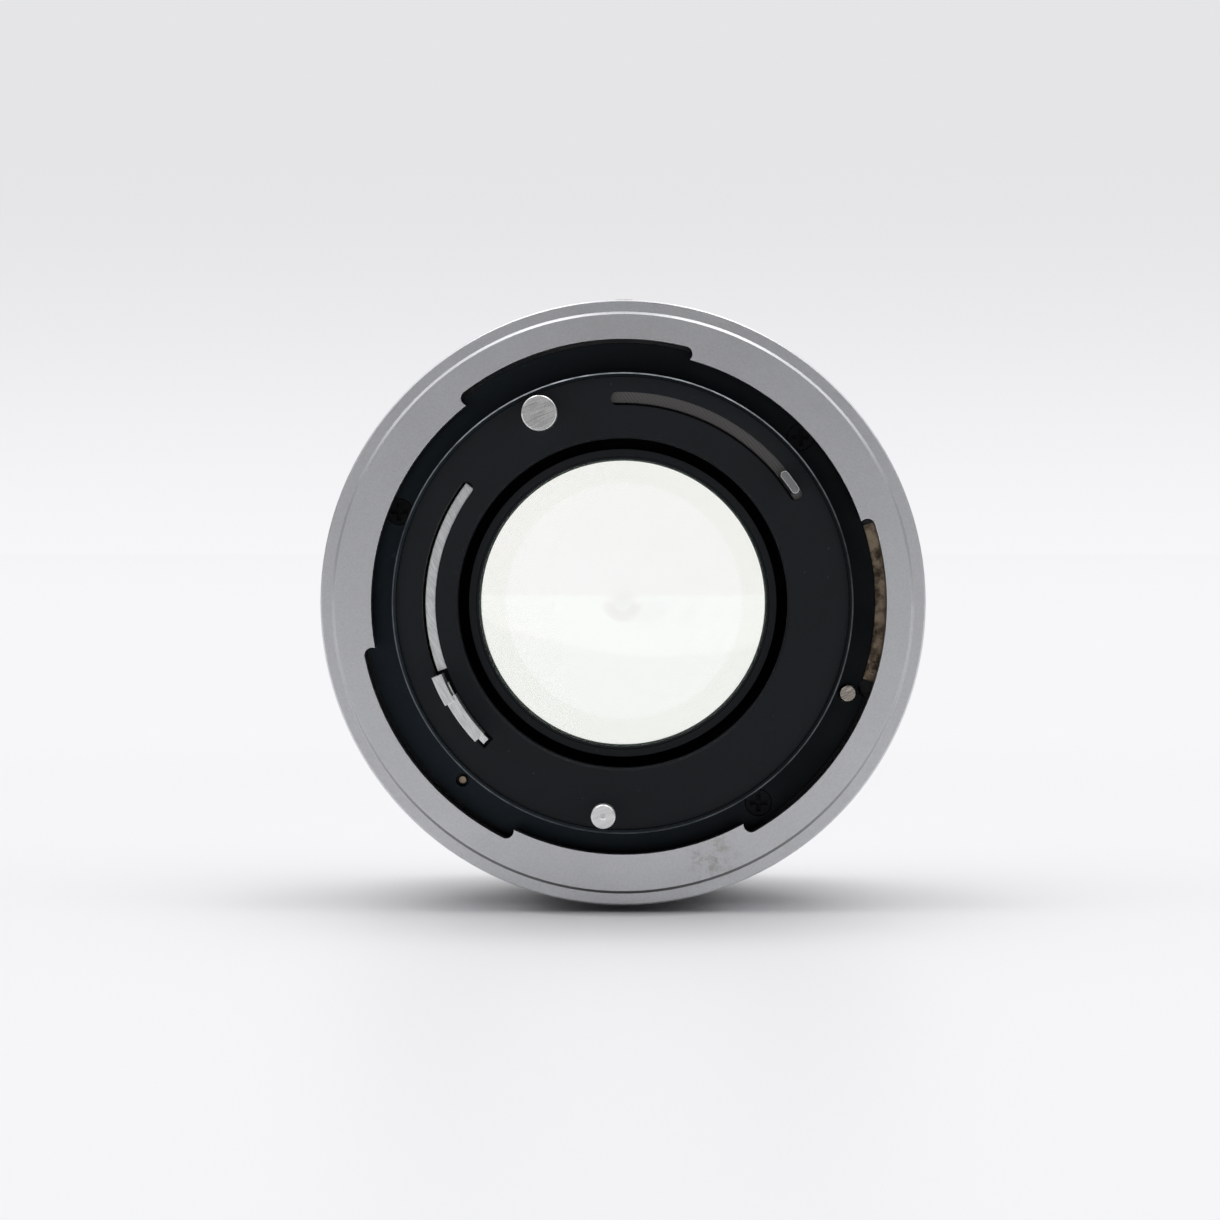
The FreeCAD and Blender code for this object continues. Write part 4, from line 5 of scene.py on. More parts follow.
import bmesh
import bpy
from bpy.props import FloatProperty, PointerProperty, StringProperty
from bpy.types import Operator, Panel, PropertyGroup
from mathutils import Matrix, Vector


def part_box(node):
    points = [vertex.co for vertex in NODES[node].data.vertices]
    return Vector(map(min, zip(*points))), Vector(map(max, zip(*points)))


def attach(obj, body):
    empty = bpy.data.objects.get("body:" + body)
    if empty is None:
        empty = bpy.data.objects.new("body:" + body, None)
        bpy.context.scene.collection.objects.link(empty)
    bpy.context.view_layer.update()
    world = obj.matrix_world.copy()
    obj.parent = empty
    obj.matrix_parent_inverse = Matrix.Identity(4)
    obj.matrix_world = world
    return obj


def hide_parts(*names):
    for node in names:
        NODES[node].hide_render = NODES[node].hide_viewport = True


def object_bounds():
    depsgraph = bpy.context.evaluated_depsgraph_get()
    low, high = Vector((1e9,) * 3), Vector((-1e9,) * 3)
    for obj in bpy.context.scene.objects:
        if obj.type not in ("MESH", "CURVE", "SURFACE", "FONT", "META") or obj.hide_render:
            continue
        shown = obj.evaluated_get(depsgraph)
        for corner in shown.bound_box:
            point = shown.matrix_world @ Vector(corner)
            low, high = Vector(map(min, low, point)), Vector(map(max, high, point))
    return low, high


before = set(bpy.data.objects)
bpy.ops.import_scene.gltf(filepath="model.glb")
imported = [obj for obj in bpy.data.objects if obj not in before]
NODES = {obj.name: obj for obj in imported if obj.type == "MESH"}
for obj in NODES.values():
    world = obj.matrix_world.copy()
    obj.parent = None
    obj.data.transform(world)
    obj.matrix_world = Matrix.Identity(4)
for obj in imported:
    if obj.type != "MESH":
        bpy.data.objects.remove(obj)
CAD_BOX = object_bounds()
MM = 0.001
NEARLY_NOTHING = 1e-6

bl_info = {
    "name": "Standard prime lens",
    "version": (1, 0, 0),
    "blender": (4, 5, 0),
    "location": "3D View > Sidebar > Lens",
    "description": "Dresses a breech-mount prime lens with its finishes, scales, grip and studio",
    "category": "Object",
}


# Sizes and colours

LENGTH = {"subtype": "DISTANCE", "unit": "LENGTH"}
TURN = {"subtype": "ANGLE"}


class LensSizes(PropertyGroup):
    """Sizes of the pieces that are added to the part."""

    rib_turn: FloatProperty(
        name="Rib angle", description="Width of one rib of the grip", default=math.radians(1.5), **TURN
    )
    rib_deep: FloatProperty(
        name="Rib depth", description="Depth of a groove in a land of the grip", default=0.45 * MM, **LENGTH
    )
    thread_pitch: FloatProperty(
        name="Thread pitch", description="Filter thread, from ridge to ridge", default=0.75 * MM, **LENGTH
    )
    thread_deep: FloatProperty(
        name="Thread depth", description="Filter thread, depth of a ridge", default=0.38 * MM, **LENGTH
    )
    f_numbers: StringProperty(
        name="Apertures", description="Numbers on the aperture ring", default="1.4 2 2.8 4 5.6 8 11 16"
    )
    f_step: FloatProperty(
        name="Aperture step", description="Angle between two apertures", default=math.radians(6.5), **TURN
    )
    metres: StringProperty(
        name="Metres", description="Distances in metres", default="10 5 3 2 1.5 1.2 1 0.8 0.7 0.6 0.5 0.45"
    )
    feet: StringProperty(
        name="Feet", description="Distances in feet", default="30 15 10 7 5 4 3.5 3 2.5 2 1.75 1.5"
    )
    focal_long: FloatProperty(
        name="Focal length", description="Focal length, which spaces the distances", default=50 * MM, **LENGTH
    )
    focus_travel: FloatProperty(
        name="Focus travel", description="Travel of the glass over the whole turn", default=7.7 * MM, **LENGTH
    )
    focus_turn: FloatProperty(
        name="Focus turn", description="Turn of the focusing ring from end to end", default=math.pi, **TURN
    )


class LensColours(PropertyGroup):
    """Colours of the finishes, as sRGB hex values."""

    satin: StringProperty(name="Satin plate", description="Breech ring", default="D7D8DA")
    tarnish: StringProperty(name="Tarnish", description="Stain on the breech ring", default="8B8170")
    # Painted shade in the step round the breech ring.
    dirt: StringProperty(name="Painted shade", description="In the step round the breech ring", default="6A6966")
    blued: StringProperty(name="Blued steel", description="Mount flange", default="252C32")
    # Painted shade on the flange's upper right side.
    thick_blue: StringProperty(name="Shaded blueing", description="Mount flange, dark side", default="15191C")
    scratch: StringProperty(name="Scratch", description="Hairlines in the blueing", default="4A5258")
    bare_steel: StringProperty(name="Bare steel", description="Worn rim of the spigot", default="BCC2C7")
    matt: StringProperty(name="Matt black", description="Light baffle and glass cells", default="0E1318")
    dust: StringProperty(name="Dust", description="Specks on the matt black", default="66686C")
    anodised: StringProperty(name="Black anodising", description="Barrels and rings", default="17181A")
    worn_black: StringProperty(name="Worn anodising", description="Edges of the barrels", default="5A5B5D")
    enamel: StringProperty(name="Black enamel", description="Front name ring", default="121213")
    steel: StringProperty(name="Polished steel", description="Large pin, ball and button", default="E6E6E4")
    turned_pin: StringProperty(name="Turned steel", description="Guide pin", default="FAFAF8")
    tarnished_pin: StringProperty(name="Tarnished steel", description="Lock pin", default="CFC5BA")
    spring_steel: StringProperty(name="Spring steel", description="Springs and screws", default="77797B")
    brushed: StringProperty(name="Brushed steel", description="Levers", default="E6E8E8")
    # Painted highlight along the levers' worn edges.
    frosted: StringProperty(name="Edge highlight", description="Rubbed edges of the levers", default="F4F4F2")
    brass: StringProperty(name="Brass", description="Brass cams and helicoid", default="B89A5C")
    bronze: StringProperty(name="Spring bronze", description="Leaf spring in the ring", default="A3927D")
    rubber: StringProperty(name="Grip rubber", description="Focusing grip", default="1D1D1E")
    white: StringProperty(name="White filling", description="Engraved numbers", default="E4E3DC")
    amber: StringProperty(name="Amber filling", description="Numbers in feet", default="D99A3C")
    red: StringProperty(name="Red enamel", description="Index marks", default="B3261E")
    green: StringProperty(name="Green filling", description="Automatic setting", default="3F9A57")
    floor: StringProperty(name="Floor", description="Paper under the lens", default="F9F9FB")
    floor_far: StringProperty(name="Floor, far", description="Paper at the horizon", default="F5F5F7")
    backdrop_low: StringProperty(name="Backdrop, low", description="At the horizon", default="F7F7F9")
    backdrop_high: StringProperty(name="Backdrop, high", description="Above the lens", default="E5E5E7")
    through_glass: StringProperty(name="Through glass", description="Paper seen in glass", default="F7F2F0")


def colours():
    """The colours of this scene."""
    return bpy.context.scene.lens_colours


def sizes():
    """The sizes of this scene."""
    return bpy.context.scene.lens_sizes


def linear(code):
    """A hex colour as the linear colour that a shader takes."""
    parts = [int(code[i : i + 2], 16) / 255 for i in (0, 2, 4)]
    return [*(p / 12.92 if p <= 0.04045 else ((p + 0.055) / 1.055) ** 2.4 for p in parts), 1.0]


def shade(code, factor):
    """A colour made lighter or darker in linear light."""
    return [min(1.0, c * factor) for c in linear(code)[:3]] + [1.0]


# Nodes and patterns

COLOUR = {"data_type": "RGBA"}
MASK, UNDER, OVER = 0, 6, 7  # Sockets of a Mix node for colours.
UNDER_VECTOR, OVER_VECTOR = 4, 5  # Sockets of a Mix node for vectors.
PRODUCT = {"operation": "MULTIPLY"}
LARGER = {"operation": "MAXIMUM"}
ALONG = {"operation": "DOT_PRODUCT"}
SMOOTH = {"interpolation_type": "SMOOTHSTEP"}
SLANT = {"vector_type": "TEXTURE"}


def feed(tree, node, values):
    """Feeds a node's inputs with values, sockets, or nodes, which stand for their first output in use."""
    for key, value in values.items():
        if isinstance(value, bpy.types.Node):
            value = next(socket for socket in value.outputs if socket.enabled)
        if isinstance(value, bpy.types.NodeSocket):
            tree.links.new(value, node.inputs[key])
        else:
            node.inputs[key].default_value = value


def add(tree, kind, settings, values):
    """Adds one node with its settings and feeds its sockets."""
    node = tree.nodes.new("ShaderNode" + kind)
    for key, value in settings.items():
        setattr(node, key, value)
    feed(tree, node, values)
    return node


def fresh(name):
    """A new material, with its node tree, its shader and its place on the object."""
    made = bpy.data.materials.new(name)
    made.use_nodes = True
    tree = made.node_tree
    tree.nodes.clear()
    shader = add(tree, "BsdfPrincipled", {}, {})
    add(tree, "OutputMaterial", {}, {"Surface": shader})
    place = add(tree, "TexCoord", {}, {}).outputs["Object"]
    return made, tree, shader, place


def per_mm(size):
    """Scale of a pattern whose features are this many millimetres apart, in a material that reads metres."""
    return 1 / (size * MM)


def patches(tree, place, size, low=0.0, high=1.0, start=0.3, end=0.7, detail=3.0, rough=0.55):
    """Cloudy patches, size millimetres across, that run from low to high between two levels of noise."""
    grain = {"Vector": place, "Scale": per_mm(size), "Detail": detail, "Roughness": rough}
    cloud = add(tree, "TexNoise", {}, grain)
    levels = {"Value": cloud, "From Min": start, "From Max": end, "To Min": low, "To Max": high}
    return add(tree, "MapRange", {}, levels)


def relief(tree, height, deep, strength, edge=0.0):
    """Normal of a relief deep millimetres high, on a piece whose edges are rounded by edge millimetres."""
    values = {"Height": height, "Distance": deep * MM, "Strength": strength}
    if edge:
        values["Normal"] = add(tree, "Bevel", {"samples": 4}, {"Radius": edge * MM})
    return add(tree, "Bump", {}, values)


def grainy(tree, place, size, deep, strength, edge=0.0, detail=2.0, rough=0.55):
    """Normal of a surface with a grain size millimetres wide and deep millimetres high. The real grains of
    plate, anodising and rubber are finer, and are drawn this coarse so that they show."""
    grain = {"Vector": place, "Scale": per_mm(size), "Detail": detail, "Roughness": rough}
    return relief(tree, add(tree, "TexNoise", {}, grain), deep, strength, edge)


def tool_scale(size):
    """Scale of a wave whose ridges are this many millimetres apart."""
    return per_mm(size) * math.pi / 10


def turned(tree, place, edge):
    """Normal of a turned surface. Its rings are half a millimetre apart, coarser than real ones, to show."""
    bands = {"wave_type": "BANDS", "bands_direction": "Y", "wave_profile": "SIN"}
    rings = {"Vector": place, "Scale": tool_scale(0.5), "Distortion": 0.4, "Detail": 1.0}
    wave = add(tree, "TexWave", bands, rings).outputs["Fac"]
    return relief(tree, wave, deep=0.004, strength=0.4, edge=edge)


def rubbed_edge(tree, size):
    """Mask that is 1 along sharp edges, size millimetres wide, where handling has worn a finish, and where a
    highlight is painted.
    """
    straight = add(tree, "NewGeometry", {}, {}).outputs["Normal"]
    rounded = add(tree, "Bevel", {"samples": 4}, {"Radius": size * MM})
    close = add(tree, "VectorMath", ALONG, {0: straight, 1: rounded})
    levels = {"Value": close, "From Min": 0.9, "From Max": 0.995, "To Min": 1.0, "To Max": 0.0}
    return add(tree, "MapRange", {}, levels)


def slope_behind(tree, place, plane, deep):
    """Mask that is 1 on a 45 degree slope that starts in a plane across the axis, for deep millimetres."""
    straight = add(tree, "NewGeometry", {}, {}).outputs["True Normal"]
    facing = add(tree, "VectorMath", ALONG, {0: straight, 1: (0.0, -1.0, 0.0)})
    half_way, give = 0.7, 0.2
    sloping = add(tree, "Math", {"operation": "COMPARE"}, {0: facing, 1: half_way, 2: give})
    depth = add(tree, "SeparateXYZ", {}, {0: place}).outputs["Y"]
    near = add(tree, "Math", {"operation": "LESS_THAN"}, {0: depth, 1: plane + deep * MM})
    return add(tree, "Math", PRODUCT, {0: sloping, 1: near})


# Pieces


def dress(made, *names):
    """Gives CAD nodes a material."""
    for name in names:
        for slot in NODES[name].material_slots:
            slot.material = made


def nothing_selected():
    """Leaves edit mode and deselects everything."""
    if bpy.context.object and bpy.context.object.mode != "OBJECT":
        bpy.ops.object.mode_set(mode="OBJECT")
    bpy.ops.object.select_all(action="DESELECT")


def pick(obj, faces=None, edges=None, verts=None):
    """Selects the faces, edges or corners of the edited mesh that pass a test, and nothing else."""
    mode = "FACE" if faces else "EDGE" if edges else "VERT"
    bpy.ops.mesh.select_mode(type=mode)
    bpy.ops.mesh.select_all(action="DESELECT")
    mesh = bmesh.from_edit_mesh(obj.data)
    mesh.normal_update()
    chosen = [item for item in (mesh.faces if faces else mesh.edges if edges else mesh.verts)
              if (faces or edges or verts)(item)]
    for item in chosen:
        item.select_set(True)
    mesh.select_flush_mode()
    bmesh.update_edit_mesh(obj.data)
    if not chosen:
        raise RuntimeError(f"nothing to select on {obj.name}")


def turned_from_top(point):
    """Angle of a point round the lens, clockwise from the top as seen from the mount."""
    return math.atan2(point.x, point.z) % (2 * math.pi)


def out_from_axis(point):
    """Distance of a point from the optical axis."""
    return math.hypot(point.x, point.z)


def settle(obj, name, body, made, smooth=35):
    """Names a finished piece, puts its place in its mesh, shades it and lets it ride on its body."""
    nothing_selected()
    obj.select_set(True)
    bpy.context.view_layer.objects.active = obj
    bpy.ops.object.transform_apply(location=True, rotation=True, scale=True)
    if smooth:
        bpy.ops.object.shade_smooth_by_angle(angle=math.radians(smooth))
    obj.name = obj.data.name = name
    obj.data.materials.clear()
    obj.data.materials.append(made)
    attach(obj, body)


def sleeve(inner, outer, back, front, steps):
    """A closed sleeve round the axis, left in edit mode for more work. Sizes in metres."""
    nothing_selected()
    bpy.ops.mesh.primitive_cylinder_add(
        vertices=steps, radius=outer, depth=front - back, end_fill_type="NOTHING",
        location=(0, (back + front) / 2, 0), rotation=(math.pi / 2, 0, 0),
    )
    obj = bpy.context.object
    bpy.ops.object.transform_apply(location=True, rotation=True, scale=True)
    bpy.ops.object.mode_set(mode="EDIT")
    pick(obj, edges=lambda e: all(abs(v.co.y - front) < NEARLY_NOTHING for v in e.verts))
    for size, move in ((inner / outer, 0), (1, back - front), (outer / inner, 0)):
        bpy.ops.mesh.extrude_edges_move(TRANSFORM_OT_translate={"value": (0, move, 0)})
        bpy.ops.transform.resize(value=(size, 1, size), center_override=(0, 0, 0))
    bpy.ops.mesh.select_all(action="SELECT")
    bpy.ops.mesh.remove_doubles(threshold=NEARLY_NOTHING)
    bpy.ops.mesh.normals_make_consistent(inside=False)
    return obj


# Finishes


def satin_plate(back):
    """Satin chrome plate over a fine blasted surface. A soft grey sheen with a sandy grain, a gloss that
    varies with handling, one tarnished spot, and painted shade in the step that starts at the rear face,
    back, darkest low down."""
    made, tree, shader, place = fresh("satin_chrome_plate")
    base = colours().satin
    sandy = patches(tree, place, 0.22, start=0.36, end=0.64, detail=2.0, rough=0.6)
    tone = add(tree, "Mix", COLOUR, {MASK: sandy, UNDER: shade(base, 0.96), OVER: shade(base, 1.03)})
    # Brown tarnish low on the rear face, where the plate has been handled.
    spot = (9 * MM, -5 * MM, -26.3 * MM)
    away = add(tree, "VectorMath", {"operation": "DISTANCE"}, {0: place, 1: spot})
    near = {"Value": away, "From Min": 0.8 * MM, "From Max": 3.6 * MM, "To Min": 1.0, "To Max": 0.0}
    speck = patches(tree, place, 1.1, high=0.5, start=0.5, end=0.68, detail=4.0, rough=0.7)
    stain = add(tree, "Math", PRODUCT, {0: add(tree, "MapRange", {}, near), 1: speck})
    tone = add(tree, "Mix", COLOUR, {MASK: stain, UNDER: tone, OVER: linear(colours().tarnish)})
    # Painted shade in the step round the rear face, most of it low down, where the slope faces down.
    height = add(tree, "SeparateXYZ", {}, {0: place}).outputs["Z"]
    low = {"Value": height, "From Min": -28 * MM, "From Max": 0.0, "To Min": 0.8, "To Max": 0.1}
    shaded_low = {0: slope_behind(tree, place, back, deep=0.28), 1: add(tree, "MapRange", {}, low)}
    dirt = add(tree, "Math", PRODUCT, shaded_low)
    tone = add(tree, "Mix", COLOUR, {MASK: dirt, UNDER: tone, OVER: linear(colours().dirt)})
    feed(tree, shader, {
        "Base Color": tone,
        "Metallic": 1.0,
        "Roughness": patches(tree, place, 9.0, low=0.29, high=0.36),
        "Normal": grainy(tree, place, 0.22, deep=0.012, strength=0.5, edge=0.07, rough=0.6),
    })
    return made


def blued_steel(rim):
    """Blued steel. Nearly black with a blue-grey sheen, hairline scratches that show brighter metal, painted
    shade towards the upper right, and a bare slope that starts at the spigot's rim, painted brighter at the
    top as a highlight."""
    made, tree, shader, place = fresh("blued_steel")
    base = colours().blued
    cloud = patches(tree, place, 5.0, detail=4.0)
    tone = add(tree, "Mix", COLOUR, {MASK: cloud, UNDER: shade(base, 0.7), OVER: shade(base, 1.35)})
    # Hairlines run round the flange, as mounting leaves them.
    around = add(tree, "Mapping", {}, {"Vector": place, "Scale": (1.0, 14.0, 1.0)})
    scratch = patches(tree, around, 1.4, high=0.5, start=0.6, end=0.72, detail=5.0, rough=0.75)
    tone = add(tree, "Mix", COLOUR, {MASK: scratch, UNDER: tone, OVER: linear(colours().scratch)})
    # Painted light and shade: the flange is lighter on the lower left and darker towards the upper right.
    side = add(tree, "VectorMath", ALONG, {0: place, 1: (-0.94, 0, -0.34)})
    lit_side = add(tree, "MapRange", {}, {"Value": side, "From Min": -12 * MM, "From Max": 25 * MM})
    tone = add(tree, "Mix", COLOUR, {MASK: lit_side, UNDER: linear(colours().thick_blue), OVER: tone})
    # The rim of the spigot rubs on the camera, and bright steel shows along it. It is painted brighter
    # towards the top, a painted highlight where the lamps overhead glint on the rim.
    height = add(tree, "SeparateXYZ", {}, {0: place}).outputs["Z"]
    high = {"Value": height, "From Min": 8 * MM, "From Max": 20 * MM, "To Min": 0.22, "To Max": 0.6}
    worn = {0: patches(tree, place, 2.0, low=0.3), 1: add(tree, "MapRange", {}, high)}
    wear_and_glint = {0: slope_behind(tree, place, rim, deep=0.2), 1: add(tree, "Math", PRODUCT, worn)}
    wear_and_glint = add(tree, "Math", PRODUCT, wear_and_glint)
    tone = add(tree, "Mix", COLOUR, {MASK: wear_and_glint, UNDER: tone, OVER: linear(colours().bare_steel)})
    feed(tree, shader, {
        "Base Color": tone,
        "Metallic": 0.85,
        "Roughness": patches(tree, place, 5.0, low=0.3, high=0.45, detail=4.0),
        "Normal": grainy(tree, place, 0.3, deep=0.006, strength=0.4, edge=0.1),
    })
    return made


def matt_black(name="matt_black_anodised_aluminium"):
    """Matt black anodised aluminium. Very dark, with a powdery grain, almost no gloss and specks of dust."""
    made, tree, shader, place = fresh(name)
    base = colours().matt
    cloud = patches(tree, place, 6.0)
    tone = add(tree, "Mix", COLOUR, {MASK: cloud, UNDER: shade(base, 0.85), OVER: shade(base, 1.15)})
    dust = patches(tree, place, 0.5, high=0.2, start=0.75, end=0.8, detail=1.0)
    feed(tree, shader, {
        "Base Color": add(tree, "Mix", COLOUR, {MASK: dust, UNDER: tone, OVER: linear(colours().dust)}),
        "Specular IOR Level": 0.27,
        "Roughness": patches(tree, place, 6.0, low=0.5, high=0.62),
        "Normal": grainy(tree, place, 0.16, deep=0.015, strength=0.6, edge=0.08, rough=0.6),
    })
    return made


def black_anodised():
    """Hard black anodising over turned aluminium. A deep satin black with tool rings and worn, grey edges."""
    made, tree, shader, place = fresh("hard_black_anodising")
    base = colours().anodised
    cloud = patches(tree, place, 7.0, detail=4.0)
    tone = add(tree, "Mix", COLOUR, {MASK: cloud, UNDER: shade(base, 0.8), OVER: shade(base, 1.25)})
    proud = add(tree, "NewGeometry", {}, {}).outputs["Pointiness"]
    wear = add(tree, "MapRange", {}, {"Value": proud, "From Min": 0.53, "From Max": 0.62, "To Max": 0.5})
    feed(tree, shader, {
        "Base Color": add(tree, "Mix", COLOUR, {MASK: wear, UNDER: tone, OVER: linear(colours().worn_black)}),
        "Metallic": 0.35,
        "Roughness": patches(tree, place, 7.0, low=0.33, high=0.45, detail=4.0),
        "Normal": turned(tree, place, edge=0.12),
    })
    return made


def black_enamel():
    """Stoved black enamel. A smooth coat with a clear gloss and slight orange peel."""
    made, tree, shader, place = fresh("stoved_black_enamel")
    base = colours().enamel
    peel = patches(tree, place, 1.2, detail=2.0)
    tone = {MASK: peel, UNDER: shade(base, 0.9), OVER: shade(base, 1.15)}
    feed(tree, shader, {
        "Base Color": add(tree, "Mix", COLOUR, tone),
        "Roughness": patches(tree, place, 5.0, low=0.26, high=0.36),
        "Coat Weight": 0.3,
        "Coat Roughness": 0.15,
        "Normal": grainy(tree, place, 1.2, deep=0.01, strength=0.3, edge=0.1),
    })
    return made


def bright_steel(name, code, low, high, streak=2.6, dull=0.8, edge=0.06):
    """Bright steel. A clear reflection that slanting rubbing marks, streak millimetres wide, break up along
    one direction. Its roughness lies between low and high. Its darkest marks have dull times its colour."""
    made, tree, shader, place = fresh(name)
    turn = (0, math.radians(-22), 0)
    drawn_out = add(tree, "Mapping", SLANT, {"Vector": place, "Rotation": turn, "Scale": (1, 1, 1 / 9)})
    lines = patches(tree, drawn_out, streak, start=0.35, end=0.65, detail=2.0)
    tone = {MASK: lines, UNDER: shade(code, dull), OVER: shade(code, 1.12)}
    feed(tree, shader, {
        "Base Color": add(tree, "Mix", COLOUR, tone),
        "Metallic": 1.0,
        "Roughness": patches(tree, place, 1.6, low=low, high=high),
        "Normal": grainy(tree, drawn_out, streak, deep=0.004, strength=0.3, edge=edge),
    })
    return made


def lever_steel(name, slides_at, low, high, face):
    """Pressed steel. Bright and drawn where a lever stands out, face times as light as new steel. On the ring
    that slides under the light baffle, from slides_at on, it is dull, between low and high, with slanting
    grinding marks."""
    made, tree, shader, place = fresh(name)
    code = colours().brushed
    turn = (0, math.radians(60), 0)
    drawn_out = add(tree, "Mapping", SLANT, {"Vector": place, "Rotation": turn, "Scale": (1, 1, 1 / 9)})
    lines = patches(tree, drawn_out, 1.6, start=0.35, end=0.65, detail=4.0, rough=0.7)
    drawn = {MASK: lines, UNDER: shade(code, 0.8 * face), OVER: shade(code, 1.15 * face)}
    edge = rubbed_edge(tree, size=0.16)
    bright = {MASK: edge, UNDER: add(tree, "Mix", COLOUR, drawn), OVER: linear(colours().frosted)}
    bright = add(tree, "Mix", COLOUR, bright)
    # A grinding belt leaves waves 0.3 mm apart, plain in some patches and faint in others.
    bands = {"wave_type": "BANDS", "bands_direction": "X", "wave_profile": "SIN"}
    across = add(tree, "Mapping", SLANT, {"Vector": place, "Rotation": (0, math.radians(-38), 0)})
    waves = {"Vector": across, "Scale": tool_scale(0.3), "Distortion": 1.5, "Detail": 1.0}
    belt = add(tree, "TexWave", bands, waves).outputs["Fac"]
    flat = (0.5, 0.5, 0.5, 1.0)
    worked = {MASK: patches(tree, place, 2.2, low=0.15, high=0.6), UNDER: flat, OVER: belt}
    marks = add(tree, "Mix", COLOUR, worked)
    dull = add(tree, "Mix", COLOUR, {MASK: marks, UNDER: linear(low), OVER: linear(high)})
    depth = add(tree, "SeparateXYZ", {}, {0: place}).outputs["Y"]
    out, under = slides_at - 0.12 * MM, slides_at - 0.05 * MM
    proud = {"Value": depth, "From Min": out, "From Max": under, "To Min": 1.0, "To Max": 0.0}
    proud = add(tree, "MapRange", {}, proud)
    # Painted highlight: the worn edges are near white and less metallic, so they look bright from every side.
    frosted = add(tree, "Math", PRODUCT, {0: proud, 1: edge})
    feed(tree, shader, {
        "Base Color": add(tree, "Mix", COLOUR, {MASK: proud, UNDER: dull, OVER: bright}),
        "Metallic": add(tree, "MapRange", {}, {"Value": frosted, "To Min": 1.0, "To Max": 0.35}),
        "Roughness": add(tree, "MapRange", {}, {"Value": proud, "To Min": 0.42, "To Max": 0.28}),
        "Normal": relief(tree, marks, deep=0.006, strength=0.3, edge=0.14),
    })
    return made


def warm_metal(name, code, rough, stained=0.5, patch=2.4, start=0.48):
    """Turned brass or bronze. Warm yellow metal with tool rings and a thin brown tarnish, stained times its
    colour, in patches patch millimetres wide."""
    made, tree, shader, place = fresh(name)
    tarnish = patches(tree, place, patch, high=0.9, start=start, end=start + 0.2, detail=4.0, rough=0.65)
    tone = {MASK: tarnish, UNDER: linear(code), OVER: shade(code, stained)}
    gloss = {"Value": tarnish, "From Max": 0.7, "To Min": rough, "To Max": rough + 0.15}
    feed(tree, shader, {
        "Base Color": add(tree, "Mix", COLOUR, tone),
        "Metallic": 1.0,
        "Roughness": add(tree, "MapRange", {}, gloss),
        "Normal": turned(tree, place, edge=0.06),
    })
    return made


def grip_rubber():
    """Moulded natural rubber. Dull black with a greyish bloom in patches and a fine mould texture."""
    made, tree, shader, place = fresh("moulded_rubber")
    base = colours().rubber
    bloom = patches(tree, place, 3.0, start=0.4, end=0.7, detail=4.0, rough=0.6)
    tone = {MASK: bloom, UNDER: shade(base, 0.9), OVER: shade(base, 1.5)}
    feed(tree, shader, {
        "Base Color": add(tree, "Mix", COLOUR, tone),
        "Roughness": add(tree, "MapRange", {}, {"Value": bloom, "To Min": 0.58, "To Max": 0.75}),
        "Specular IOR Level": 0.4,
        "Normal": grainy(tree, place, 0.2, deep=0.02, strength=0.5),
    })
    return made


def filling(name, code):
    """Enamel rubbed into an engraving. Slightly chalky and uneven, with a dry surface."""
    made, tree, shader, place = fresh(name)
    tone = {MASK: patches(tree, place, 0.35), UNDER: shade(code, 0.88), OVER: shade(code, 1.02)}
    feed(tree, shader, {
        "Base Color": add(tree, "Mix", COLOUR, tone),
        "Roughness": patches(tree, place, 0.35, low=0.5, high=0.65),
        "Normal": grainy(tree, place, 0.35, deep=0.008, strength=0.4, detail=3.0),
    })
    return made


def optical_glass(name, ior, sheen):
    """Polished optical glass under a thin coating. Clear, with a faint tinted reflection."""
    made, tree, shader, place = fresh(name)
    # The mesh's pole would show as a dark speck on the axis, so the glass is faceted and a bit rough there.
    flat = add(tree, "VectorMath", PRODUCT, {0: place, 1: (1.0, 0.0, 1.0)})
    out = add(tree, "VectorMath", {"operation": "LENGTH"}, {0: flat})
    hazy = {"Value": out, "From Min": 1.0 * MM, "From Max": 1.8 * MM, "To Min": 0.12, "To Max": 0.01}
    pole = {"Value": out, "From Min": 0.9 * MM, "From Max": 1.2 * MM, "To Min": 1.0, "To Max": 0.0}
    surface = add(tree, "NewGeometry", {}, {}).outputs
    faceted = add(tree, "Mix", {"data_type": "VECTOR"}, {
        MASK: add(tree, "MapRange", {}, pole),
        UNDER_VECTOR: surface["Normal"],
        OVER_VECTOR: surface["True Normal"],
    })
    tone = {MASK: patches(tree, place, 12.0), UNDER: linear("FFFFFF"), OVER: linear("FEFFFE")}
    feed(tree, shader, {
        "Base Color": add(tree, "Mix", COLOUR, tone),
        "Transmission Weight": 1.0,
        "IOR": ior,
        "Roughness": add(tree, "MapRange", {}, hazy),
        "Normal": faceted,
        "Specular IOR Level": 0.05,
        "Specular Tint": linear(sheen),
    })
    return made


def cemented_glass(name):
    """Glass whose faces are hidden by their neighbours. It only dims the light a little."""
    made, tree, shader, place = fresh(name)
    tone = {MASK: patches(tree, place, 12.0), UNDER: linear("C8D0CC"), OVER: linear("BCC8C4")}
    feed(tree, shader, {"Base Color": add(tree, "Mix", COLOUR, tone), "Alpha": 0.006, "Roughness": 0.02})
    return made


